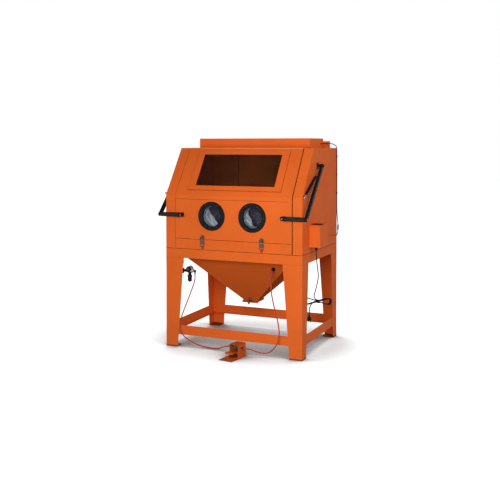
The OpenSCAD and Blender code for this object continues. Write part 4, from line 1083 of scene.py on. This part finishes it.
@dataclass
class Seals:
    """Rubber at the door, window and stand, dark lines at the sheet's joints, painted shade round the window
    frame and a painted highlight on the door's top fold.
    """

    cabinet: Cabinet
    proud: float = 0.0008
    fin: float = 0.0013
    fin_front: float = 0.0015
    fin_clear: float = 0.001
    trim: float = 0.0045
    trim_low: float = 0.004
    trim_high: float = 0.006
    sill_depth: Span = (0.002, 0.018)
    sill_h: float = 0.0016
    band: float = 0.0030
    seam: Span = (-0.516, 0.483)
    seam_depth: Span = (-0.0002, 0.001)
    seam_h: float = 0.002
    lap_x: float = -0.348
    lap_w: float = 0.004
    lap_t: float = 0.0012
    lap_low: float = 0.06
    lap_high: float = 0.03
    win_half: float = 0.354
    win_low: float = 0.093
    win_high: float = 0.406
    glass_t: float = 0.004
    bead: float = 0.0024
    bead_inset: float = 0.8
    bead_out: float = 0.7
    frame_low: float = 0.051
    frame_high: float = 0.448
    shadow_width: float = 0.005
    highlight_up: Span = (0.4730, 0.4795)
    leg_line: float = 0.0016

    def bent_bar(self, blank: Blank, across: Span, depths: Span, low: float, high: float) -> None:
        """Adds a bar that follows the bent front.

        Args:
            blank: the mesh to add to.
            across: its two edges along X.
            depths: how far behind the front's face it starts and ends.
            low: its lower end.
            high: its upper end.
        """
        (left, right), (front, back) = across, depths
        edges = ((left, front), (left, back), (right, back), (right, front))
        lines = [self.cabinet.bent_line(x, depth, low, high) for x, depth in edges]
        blank.loft(list(zip(*lines)), caps=(0, -1))

    def slope_strip(self, blank: Blank, across: Span, up: Span) -> None:
        """Adds a thin flat strip on the sloped front.

        Args:
            blank: the mesh to add to.
            across: its two ends along X.
            up: where it starts and ends along the slope.
        """
        (left, right), (low, high) = across, up
        corners = ((left, low), (right, low), (right, high), (left, high))
        faces = [[self.cabinet.on_slope(x, u, side * self.proud) for x, u in corners] for side in SIDES]
        blank.loft(faces, caps=(0, -1))

    def frame_shadow_line(self) -> None:
        """Painted shade: a dark strip round the window frame that stands in for the frame's shadow on the
        slope.
        """
        blank = Blank()
        x, low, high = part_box("window_frame")[1].x, self.frame_low, self.frame_high
        for up in ((low - self.shadow_width, low), (high, high + self.shadow_width)):
            self.slope_strip(blank, (-x - self.shadow_width, x + self.shadow_width), up)
        for side in ((-x - self.shadow_width, -x), (x, x + self.shadow_width)):
            self.slope_strip(blank, side, (low, high))
        add_piece(blank.mesh("frame_shadow_line"), SEAM_AND_SHADE_ORANGE, Body.DOOR, Slot.ORANGE)

    def top_fold_highlight(self) -> None:
        """Painted highlight: a pale, glossier strip along the top fold of the door, where light catches the
        fold.
        """
        blank = Blank()
        self.slope_strip(blank, (-self.cabinet.door_half, self.cabinet.door_half), self.highlight_up)
        add_piece(blank.mesh("top_fold_highlight"), FOLD_HIGHLIGHT_ORANGE, Body.DOOR, Slot.ORANGE)

    def leg_lines(self) -> None:
        """The joint lines where the legs meet the top rails."""
        blank = Blank()
        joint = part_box("top_rails")[0].z
        low, high = joint - self.leg_line / 2, joint + self.leg_line / 2
        inner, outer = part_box("leg_rear_right")
        out = self.proud / 2
        for sx, sy in product(SIDES, SIDES):
            x, y = sx * outer.x, sy * outer.y
            blank.box((x + sx * out, y - out, low), (sx * inner.x, y + out, high))
            blank.box((x - out, y - sy * out, low), (x + out, sy * inner.y, high))
        add_piece(blank.mesh("leg_lines"), SEAM_AND_SHADE_ORANGE, Body.ROOT, Slot.ORANGE)

    def door_edges(self) -> None:
        """Fins in the gaps beside the door, a black edge trim on the right jamb and a strip on the sill; the
        trim, on the right jamb only, also serves as painted shade of the right-hand gap.
        """
        c = self.cabinet
        blank = Blank()
        edge = c.half_w - c.jamb_w
        depths = (self.fin_front, c.stop_off - self.fin_clear)
        for side in SIDES:
            self.bent_bar(blank, (side * (edge - self.fin), side * edge), depths, c.door_z, c.flange_top)
        # A rubber trim that is also painted shade: on the right jamb's face it widens the dark line of the
        # right-hand gap.
        self.bent_bar(blank, (edge, edge + self.trim), (-self.proud, 0),
                      c.stand_h + self.trim_low, c.roof_z - self.trim_high)
        front, back = (c.front_y + depth for depth in self.sill_depth)
        blank.box((-c.door_half, front, c.sill_z), (c.door_half, back, c.sill_z + self.sill_h))
        add_piece(blank.mesh("door_seals"), SEAL, Body.ROOT, Slot.CORD)

    def stand_band(self) -> None:
        """A thin gasket that shows all round between the cabinet and the stand."""
        c = self.cabinet
        blank = Blank()
        low, high = c.stand_h - self.band / 2, c.stand_h + self.band / 2
        out = self.proud / 2
        for y in (c.front_y, c.back_y):
            blank.box((-c.half_w - out, y - out, low), (c.half_w + out, y + out, high))
        for x in (-c.half_w, c.half_w):
            blank.box((x - out, c.front_y + out, low), (x + out, c.back_y - out, high))
        add_piece(blank.mesh("stand_gasket"), SEAL, Body.ROOT, Slot.CORD)

    def seam_line(self) -> None:
        """Dark filler in the seam under the slope."""
        c = self.cabinet
        blank = Blank()
        left, right = self.seam
        front, back = (c.front_y + depth for depth in self.seam_depth)
        blank.box((left, front, c.seam_z), (right, back, c.seam_z + self.seam_h))
        add_piece(blank.mesh("door_seam"), SEAL, Body.DOOR, Slot.CORD)

    def back_lap(self) -> None:
        """The lap where the back's two sheets meet, which shows through the window."""
        c = self.cabinet
        blank = Blank()
        inside = c.back_y - c.sheet
        blank.box((self.lap_x, inside - self.lap_t, c.stand_h + self.lap_low),
                  (self.lap_x + self.lap_w, inside, c.roof_z - self.lap_high))
        add_piece(blank.mesh("back_lap"), SEAL, Body.ROOT, Slot.CORD)

    def window_bead(self) -> None:
        """A round rubber bead on the glass along the frame's inner edge."""
        inset = self.bead * self.bead_inset
        x, low, high = self.win_half - inset, self.win_low + inset, self.win_high - inset
        out = self.glass_t + self.bead * self.bead_out
        corners = [self.cabinet.on_slope(*at, out) for at in ((-x, low), (x, low), (x, high), (-x, high))]
        curve = tube_curve("window_gasket", corners, self.bead, closed=True)
        add_piece(curve, SEAL, Body.DOOR, Slot.CORD)

    def build(self) -> None:
        """Makes all the seals and lines."""
        self.frame_shadow_line()
        self.top_fold_highlight()
        self.leg_lines()
        self.door_edges()
        self.stand_band()
        self.seam_line()
        self.back_lap()
        self.window_bead()


@dataclass(frozen=True)
class ScrewHead:
    """One size of screw head on one body, and the name of the piece that its screws make."""

    name: str
    body: Body
    finish: Finish
    slot: Slot
    radius: float
    height: float


class ScrewTree(NodeWork):
    """The node tree that puts a socket-head screw on every point of a mesh."""

    SIZES = ("Head radius", "Head height", "Socket radius")
    HEAD_SIDES = 20
    CROWN = 0.72
    SOCKET_SIDES = 6
    SOCKET = 0.42

    def __init__(self) -> None:
        """Builds the tree."""
        self.group = bpy.data.node_groups.new("screw_heads", "GeometryNodeTree")
        super().__init__(self.group)
        self.socket("Geometry", "NodeSocketGeometry")
        self.keys = {name: self.socket(name, "NodeSocketFloat") for name in self.SIZES}
        self.keys["Material"] = self.socket("Material", "NodeSocketMaterial")
        self.socket("Geometry", "NodeSocketGeometry", "OUTPUT")
        self.wire()

    def socket(self, name: str, kind: str, way: str = "INPUT") -> str:
        """Adds an input or output of the tree.

        Args:
            name: its name.
            kind: its type name.
            way: INPUT or OUTPUT.

        Returns:
            Its identifier.
        """
        return self.group.interface.new_socket(name, in_out=way, socket_type=kind).identifier

    def wire(self) -> None:
        """Makes the head with its hexagon socket, puts it on the points and turns it to face outwards."""
        given = self.node("NodeGroupInput").outputs
        radius, height, socket_radius = (given[name] for name in self.SIZES)
        top = self.node("ShaderNodeMath", {0: radius, 1: self.CROWN}, operation="MULTIPLY")
        head = self.node("GeometryNodeMeshCone", {
            "Vertices": self.HEAD_SIDES, "Depth": height,
            "Radius Bottom": radius, "Radius Top": top.outputs[0]})
        socket = self.node("GeometryNodeMeshCylinder", {
            "Vertices": self.SOCKET_SIDES, "Radius": socket_radius, "Depth": height})
        lift = self.node("ShaderNodeCombineXYZ", {"Z": height})
        raised = self.node("GeometryNodeTransform", {
            "Geometry": socket.outputs["Mesh"], "Translation": lift.outputs[0]})
        cut = self.node("GeometryNodeMeshBoolean", {
            "Mesh 1": head.outputs["Mesh"], "Mesh 2": raised.outputs["Geometry"]}, operation="DIFFERENCE")
        facing = self.node("GeometryNodeInputNamedAttribute", {"Name": "facing"}, data_type="FLOAT_VECTOR")
        align = self.node("FunctionNodeAlignRotationToVector", {
            "Vector": facing.outputs["Attribute"]}, axis="Z")
        placed = self.node("GeometryNodeInstanceOnPoints", {
            "Points": given["Geometry"], "Instance": cut.outputs["Mesh"],
            "Rotation": align.outputs["Rotation"]})
        real = self.node("GeometryNodeRealizeInstances", {"Geometry": placed.outputs["Instances"]})
        coated = self.node("GeometryNodeSetMaterial", {
            "Geometry": real.outputs["Geometry"], "Material": given["Material"]})
        self.node("NodeGroupOutput", {"Geometry": coated.outputs["Geometry"]})

    def apply(self, head: ScrewHead, seats: Iterable[Seat]) -> None:
        """Makes one plain mesh piece of a row of screws.

        Args:
            head: their head.
            seats: where they sit and which way they face.
        """
        places, ways = zip(*seats)
        points = bpy.data.meshes.new(head.name + "_seats")
        points.from_pydata(places, [], [])
        facing = points.attributes.new("facing", "FLOAT_VECTOR", "POINT")
        for item, way in zip(facing.data, ways):
            item.vector = way
        carrier = bpy.data.objects.new(head.name + "_seats", points)
        bpy.context.scene.collection.objects.link(carrier)
        modifier = carrier.modifiers.new("screws", "NODES")
        modifier.node_group = self.group
        sizes = (head.radius, head.height, head.radius * self.SOCKET)
        for name, value in zip(self.SIZES, sizes):
            modifier[self.keys[name]] = value
        modifier[self.keys["Material"]] = head.finish.material()
        graph = bpy.context.evaluated_depsgraph_get()
        mesh = bpy.data.meshes.new_from_object(carrier.evaluated_get(graph), depsgraph=graph)
        bpy.data.objects.remove(carrier)
        mesh.name = head.name
        add_piece(mesh, head.finish, head.body, head.slot)


@dataclass
class Fasteners:
    """All the visible screws and bolts, grouped by body and size.

    Attributes:
        frame_h: how far the window frame stands out from the slope.
        frame_up: the heights of its two long rows, along the slope.
        cover_up: the height of the light box's screws above its lower edge.
        lid_inset: how far the lid's screws lie in from its two upright edges.
        lid_low: how far they lie above the box's lower end.
        lid_high: how far they lie below its upper end.
        plate_half: half the distances between a pivot plate's bolts.
    """

    HEADS: ClassVar[Sequence[ScrewHead]] = (
        ScrewHead("ring_screws", Body.DOOR, LATCH, Slot.ZINC, radius=0.0042, height=0.0026),
        ScrewHead("stand_bolts", Body.ROOT, SHADED_ORANGE, Slot.ORANGE, radius=0.006, height=0.0025),
        ScrewHead("frame_screws", Body.DOOR, ORANGE, Slot.ORANGE, radius=0.004, height=0.0012),
        ScrewHead("cover_screws", Body.ROOT, ORANGE, Slot.ORANGE, radius=0.004, height=0.0018),
        ScrewHead("box_screws", Body.ROOT, ORANGE, Slot.ORANGE, radius=0.0038, height=0.0016),
        ScrewHead("pivot_bolts", Body.ROOT, BLACK_PAINT, Slot.BLACK_STEEL, radius=0.0042, height=0.0026),
        ScrewHead("grip_bolts", Body.DOOR, ZINC, Slot.ZINC, radius=0.0055, height=0.0025),
    )
    cabinet: Cabinet
    per_ring: int = 6
    leg_x: float = 0.543
    low_rail_y: float = 0.400
    low_rail_z: Span = (0.125, 0.163)
    top_rail_y: float = 0.390
    top_rail_z: Span = (0.715, 0.740)
    bracket_x: float = -0.512
    bracket_z: Span = (0.628, 0.656)
    frame_h: float = 0.0063
    frame_x: Sequence[float] = (-0.36, -0.18, 0.0, 0.18, 0.36)
    frame_up: Span = (0.072, 0.427)
    frame_edge_x: float = 0.3845
    frame_edge_up: Triple = (0.17, 0.2495, 0.33)
    cover_x: Sequence[float] = (-0.5, -0.25, 0.0, 0.25, 0.5)
    cover_end_y: Span = (0.03, 0.21)
    cover_up: float = 0.0125
    lid_inset: float = 0.010
    lid_low: float = 0.012
    lid_high: float = 0.018
    plate_t: float = 0.005
    plate_half: Span = (0.016, 0.021)
    grip_x: float = 0.454
    grip_r: float = 0.016

    def ring_screws(self) -> Iterator[Seat]:
        """Screws round each glove port ring."""
        c = self.cabinet
        radius = (c.ring_r + c.port_r) / 2
        for side, k in product(SIDES, range(self.per_ring)):
            a = math.tau * k / self.per_ring
            x, z = side * c.port_x + radius * math.cos(a), c.port_z + radius * math.sin(a)
            yield (x, c.ring_y, z), (0, -1, 0)

    def stand_bolts(self) -> Iterator[Seat]:
        """Bolts that hold the rails and the regulator bracket to the legs."""
        c = self.cabinet
        rails = [*product([self.low_rail_y], self.low_rail_z),
                 *product([self.top_rail_y], self.top_rail_z)]
        for sx, sy, (y, z) in product(SIDES, SIDES, rails):
            yield (sx * self.leg_x, sy * c.back_y, z), (0, sy, 0)
            yield (sx * c.half_w, sy * y, z), (sx, 0, 0)
        for z in self.bracket_z:
            yield (self.bracket_x, c.front_y, z), (0, -1, 0)

    def frame_screws(self) -> Iterator[Seat]:
        """Screws round the window frame."""
        c = self.cabinet
        edges = [side * self.frame_edge_x for side in SIDES]
        for x, up in [*product(self.frame_x, self.frame_up), *product(edges, self.frame_edge_up)]:
            yield c.on_slope(x, up, self.frame_h), (0, -math.sin(c.slope), math.cos(c.slope))

    def cover_screws(self) -> Iterator[Seat]:
        """Screws in the skirt of the light box."""
        low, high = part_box("lamp_housing")
        z = low.z + self.cover_up
        for x, (y, way) in product(self.cover_x, zip((low.y, high.y), SIDES)):
            yield (x, y, z), (0, way, 0)
        for side, y in product(SIDES, self.cover_end_y):
            yield (side * high.x, y, z), (side, 0, 0)

    def box_screws(self) -> Iterator[Seat]:
        """Screws in the control box's lid."""
        low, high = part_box("control_box")
        across = low.y + self.lid_inset, high.y - self.lid_inset
        upward = low.z + self.lid_low, high.z - self.lid_high
        for y, z in product(across, upward):
            yield (high.x, y, z), (1, 0, 0)

    def pivot_bolts(self) -> Iterator[Seat]:
        """Bolts at the corners of each pivot plate."""
        _, y, z = box_middle("pivot_plates")
        half_y, half_z = self.plate_half
        face = self.cabinet.half_w + self.plate_t
        for side, sy, sz in product(SIDES, SIDES, SIDES):
            yield (side * face, y + sy * half_y, z + sz * half_z), (side, 0, 0)

    def grip_bolts(self) -> Iterator[Seat]:
        """Bolts at both ends of each grip."""
        _, y, z = box_middle("arm_grips")
        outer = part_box("lift_arms")[1].x
        for side in SIDES:
            yield (side * self.grip_x, y - self.grip_r, z), (0, -1, 0)
            yield (side * outer, y, z), (side, 0, 0)

    def build(self) -> None:
        """Makes every group of screws."""
        tree = ScrewTree()
        rows = (self.ring_screws, self.stand_bolts, self.frame_screws, self.cover_screws, self.box_screws,
                self.pivot_bolts, self.grip_bolts)
        for head, row in zip(self.HEADS, rows, strict=True):
            tree.apply(head, row())


@dataclass
class KnobCap:
    """The grey cap in the middle of the regulator's knob."""

    radius: float = 0.009
    height: float = 0.0008
    taper: float = 0.93
    sides: int = 32

    def build(self) -> None:
        """Makes the cap, which turns with the knob."""
        blank = Blank()
        knob = box_middle("regulator_knob")
        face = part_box("regulator_knob")[0].y
        place = Matrix.Translation((knob.x, face - self.height / 2, knob.z))
        bmesh.ops.create_cone(blank.bm, cap_ends=True, segments=self.sides, radius1=self.radius,
                              radius2=self.radius * self.taper, depth=self.height,
                              matrix=place @ Matrix.Rotation(math.pi / 2, 4, "X"))
        add_piece(blank.mesh("knob_cap"), CAP, Body.KNOB, Slot.BLACK_PLASTIC)


@dataclass(frozen=True)
class WhiteFloor(Finish):
    """A matt white studio floor that glows evenly, with a painted shadow: its glow dims under and close to
    what stands on it.
    """

    glow: Span = (0.0, 0.97)
    open_share: Span = (0.47, 0.90)
    reach: float = 0.95
    samples: int = 32
    shine: float = 0.1

    def build(self, shader: Shader) -> None:
        """Fills the shader."""
        # Painted shadow: the glow dims where ambient occlusion finds things close by.
        shadow_ao = shader.node("ShaderNodeAmbientOcclusion", {"Distance": self.reach}, samples=self.samples)
        shader.set(Base_Color=(*self.tint, 1.0), Emission_Color=(1, 1, 1, 1), Specular_IOR_Level=self.shine,
                   Emission_Strength=shader.spread(shadow_ao.outputs["AO"], self.open_share, self.glow))


@dataclass(frozen=True)
class SoftLight:
    """One square area light: where it stands, its watts and the length of its side."""

    name: str
    place: Triple
    power: float
    size: float

    def build(self, aim: Triple) -> None:
        """Puts the light into the scene, aimed at a point."""
        light = bpy.data.lights.new(self.name, "AREA")
        light.energy = self.power
        light.size = self.size
        lamp = bpy.data.objects.new(self.name, light)
        lamp.location = self.place
        lamp.rotation_euler = (Vector(aim) - Vector(self.place)).to_track_quat("-Z", "Y").to_euler()
        bpy.context.scene.collection.objects.link(lamp)


class Studio:
    """The white floor, the soft light and the photograph's camera."""

    FLOOR = WhiteFloor("studio_floor", (0.50, 0.50, 0.50), 0.95)
    FLOOR_HALF = 30
    LIGHTS = (SoftLight("key_light", (0.95, -3.20, 1.55), 59.0, 1.2),
              SoftLight("side_light", (3.60, -1.00, 3.30), 38.0, 1.5),
              SoftLight("back_light", (-2.60, 3.20, 2.40), 60.0, 2.0))
    AIM = (0.0, 0.0, 0.95)
    SKY = ((0.0, 0.09), (0.42, 0.11), (0.46, 1.0), (0.60, 1.0), (0.70, 0.07), (1.0, 0.06))
    LENS = 55.76
    SENSOR = 36.0
    PLACE = (2.643, -6.173, 1.705)
    TURN = (math.radians(88.57), 0.0, math.radians(23.757))
    SHIFT = (0.0084, -0.172)

    def floor(self) -> None:
        """A wide white floor."""
        blank = Blank()
        bmesh.ops.create_grid(blank.bm, x_segments=1, y_segments=1, size=self.FLOOR_HALF)
        mesh = blank.mesh("studio_floor")
        mesh.materials.append(self.FLOOR.material())
        ground = bpy.data.objects.new("studio_floor", mesh)
        bpy.context.scene.collection.objects.link(ground)
        ground.visible_diffuse = False

    def sky(self) -> None:
        """A white surround, bright at eye level and dim overhead and underfoot."""
        world = bpy.data.worlds.new("studio_world")
        world.use_nodes = True
        work = NodeWork(world.node_tree)
        way = work.node("ShaderNodeTexCoord").outputs["Generated"]
        parts = work.node("ShaderNodeSeparateXYZ", {"Vector": way})
        height = work.node("ShaderNodeMapRange", {"Value": parts.outputs["Z"], "From Min": -1.0})
        ramp = work.node("ShaderNodeValToRGB", {"Fac": height.outputs["Result"]})
        stops = ramp.color_ramp.elements
        while len(stops) < len(self.SKY):
            stops.new(0.5)
        for stop, (place, level) in zip(stops, self.SKY):
            stop.position = place
            stop.color = (level, level, level, 1)
        background = work.tree.nodes["Background"]
        work.feed(background.inputs["Color"], (1, 1, 1, 1))
        work.feed(background.inputs["Strength"], ramp.outputs["Color"])
        bpy.context.scene.world = world

    def camera(self) -> None:
        """The camera at the photograph's viewing angle."""
        data = bpy.data.cameras.new("photo_camera")
        data.lens = self.LENS
        data.sensor_width = self.SENSOR
        data.shift_x, data.shift_y = self.SHIFT
        camera = bpy.data.objects.new("photo_camera", data)
        camera.location = self.PLACE
        camera.rotation_euler = self.TURN
        bpy.context.scene.collection.objects.link(camera)
        bpy.context.scene.camera = camera

    def build(self) -> None:
        """Sets up floor, light and camera."""
        self.floor()
        for light in self.LIGHTS:
            light.build(self.AIM)
        self.sky()
        bpy.context.scene.view_settings.view_transform = "Standard"
        self.camera()


# How far the first points of a hose lie out from its barb, and then the free points of both hoses
BARB_RUN = (0, 0.008, 0.024)
SUPPLY_ROUTE: Route = (
    (-0.35838, -0.413, 0.620), (-0.35838, -0.413, 0.612), (-0.35838, -0.413, 0.596),
    (-0.36173, -0.414, 0.560), (-0.37820, -0.425, 0.500), (-0.40016, -0.450, 0.420),
    (-0.42212, -0.478, 0.340), (-0.44225, -0.494, 0.270), (-0.45323, -0.497, 0.210),
    (-0.45323, -0.497, 0.165), (-0.43981, -0.495, 0.128), (-0.41419, -0.486, 0.098),
    (-0.37576, -0.468, 0.066), (-0.33611, -0.446, 0.040), (-0.28975, -0.424, 0.020),
    (-0.23485, -0.408, 0.009), (-0.17507, -0.408, 0.009), (-0.12017, -0.430, 0.022),
    (-0.07015, -0.464, 0.045), (-0.02013, -0.500, 0.064))
BLAST_ROUTE: Route = (
    (0.18971, -0.530, 0.070), (0.22997, -0.505, 0.052), (0.27511, -0.490, 0.040), (0.31781, -0.484, 0.040),
    (0.35502, -0.486, 0.058), (0.38491, -0.492, 0.086), (0.40992, -0.497, 0.120), (0.42578, -0.499, 0.160),
    (0.43371, -0.499, 0.204), (0.43005, -0.496, 0.250), (0.41785, -0.490, 0.305), (0.39589, -0.476, 0.366),
    (0.36600, -0.450, 0.430), (0.33977, -0.424, 0.500), (0.32391, -0.400, 0.570), (0.31415, -0.376, 0.630))


@dataclass
class PedalFrame:
    """The pedal's place on the floor and its two hose barbs, in its own turned frame."""

    at: Triple = (0.071, -0.582, 0.0)
    turn: float = math.radians(-9.6)
    left: Triple = (-0.044, 0.042, 0.078)
    right: Triple = (0.068, 0.042, 0.078)

    def point(self, local: Sequence[float]) -> Vector:
        """A point of the pedal's frame in the cabinet's frame."""
        return Vector(self.at) + Matrix.Rotation(self.turn, 3, "Z") @ Vector(local)

    def leads(self, barb: Triple, way: int) -> list[Vector]:
        """The straight start of a hose on a barb.

        Args:
            barb: the barb's end.
            way: 1 or -1, the side that it points to.

        Returns:
            Three points outwards from the barb.
        """
        return [self.point((barb[0] + way * d, barb[1], barb[2])) for d in BARB_RUN]


@dataclass
class Bulkhead:
    """The blast hose's fitting on the hopper's sloping front wall."""

    x: float = 0.312
    z: float = 0.691
    outlet_half: float = 0.065
    outlet_z: float = 0.367
    top_half: float = 0.422
    top_z: float = 0.833
    wall: float = 0.0028
    reach: float = 0.0343

    def leads(self) -> list[Vector]:
        """The straight end of the hose, towards the fitting."""
        a = math.atan2(self.top_half - self.outlet_half, self.top_z - self.outlet_z)
        y = -self.outlet_half - (self.z - self.outlet_z) * math.tan(a) - self.wall
        out = Vector((0, -math.cos(a), -math.sin(a)))
        return [Vector((self.x, y, self.z)) + (self.reach + d) * out for d in reversed(BARB_RUN)]


def build_cords(cabinet: Cabinet) -> None:
    """Makes the two air hoses, the power cord and the lamp lead.

    Args:
        cabinet: the sizes that the lead's clips follow.
    """
    pedal = PedalFrame()
    supply = [*SUPPLY_ROUTE, *reversed(pedal.leads(pedal.left, -1))]
    blast = [*pedal.leads(pedal.right, 1), *BLAST_ROUTE, *Bulkhead().leads()]
    AirHose("air_supply_hose", "supply_hose", supply).build()
    blast_hose = AirHose("air_blast_hose", "blast_hose", blast)
    blast_hose.build()
    blast_hose.end_sleeve("blast_hose_sleeve")
    PowerCord().build()
    LampLead(cabinet).build()


def main() -> None:
    """Builds every piece in order."""
    logging.basicConfig(level=logging.INFO, format="%(name)s: %(message)s")
    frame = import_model()
    cabinet = Cabinet.from_frame()
    Studio().build()
    build_cords(cabinet)
    dress_nodes(frame)
    Gloves(cabinet).build()
    Seals(cabinet).build()
    Fasteners(cabinet).build()
    KnobCap().build()


if __name__ == "__main__":
    main()
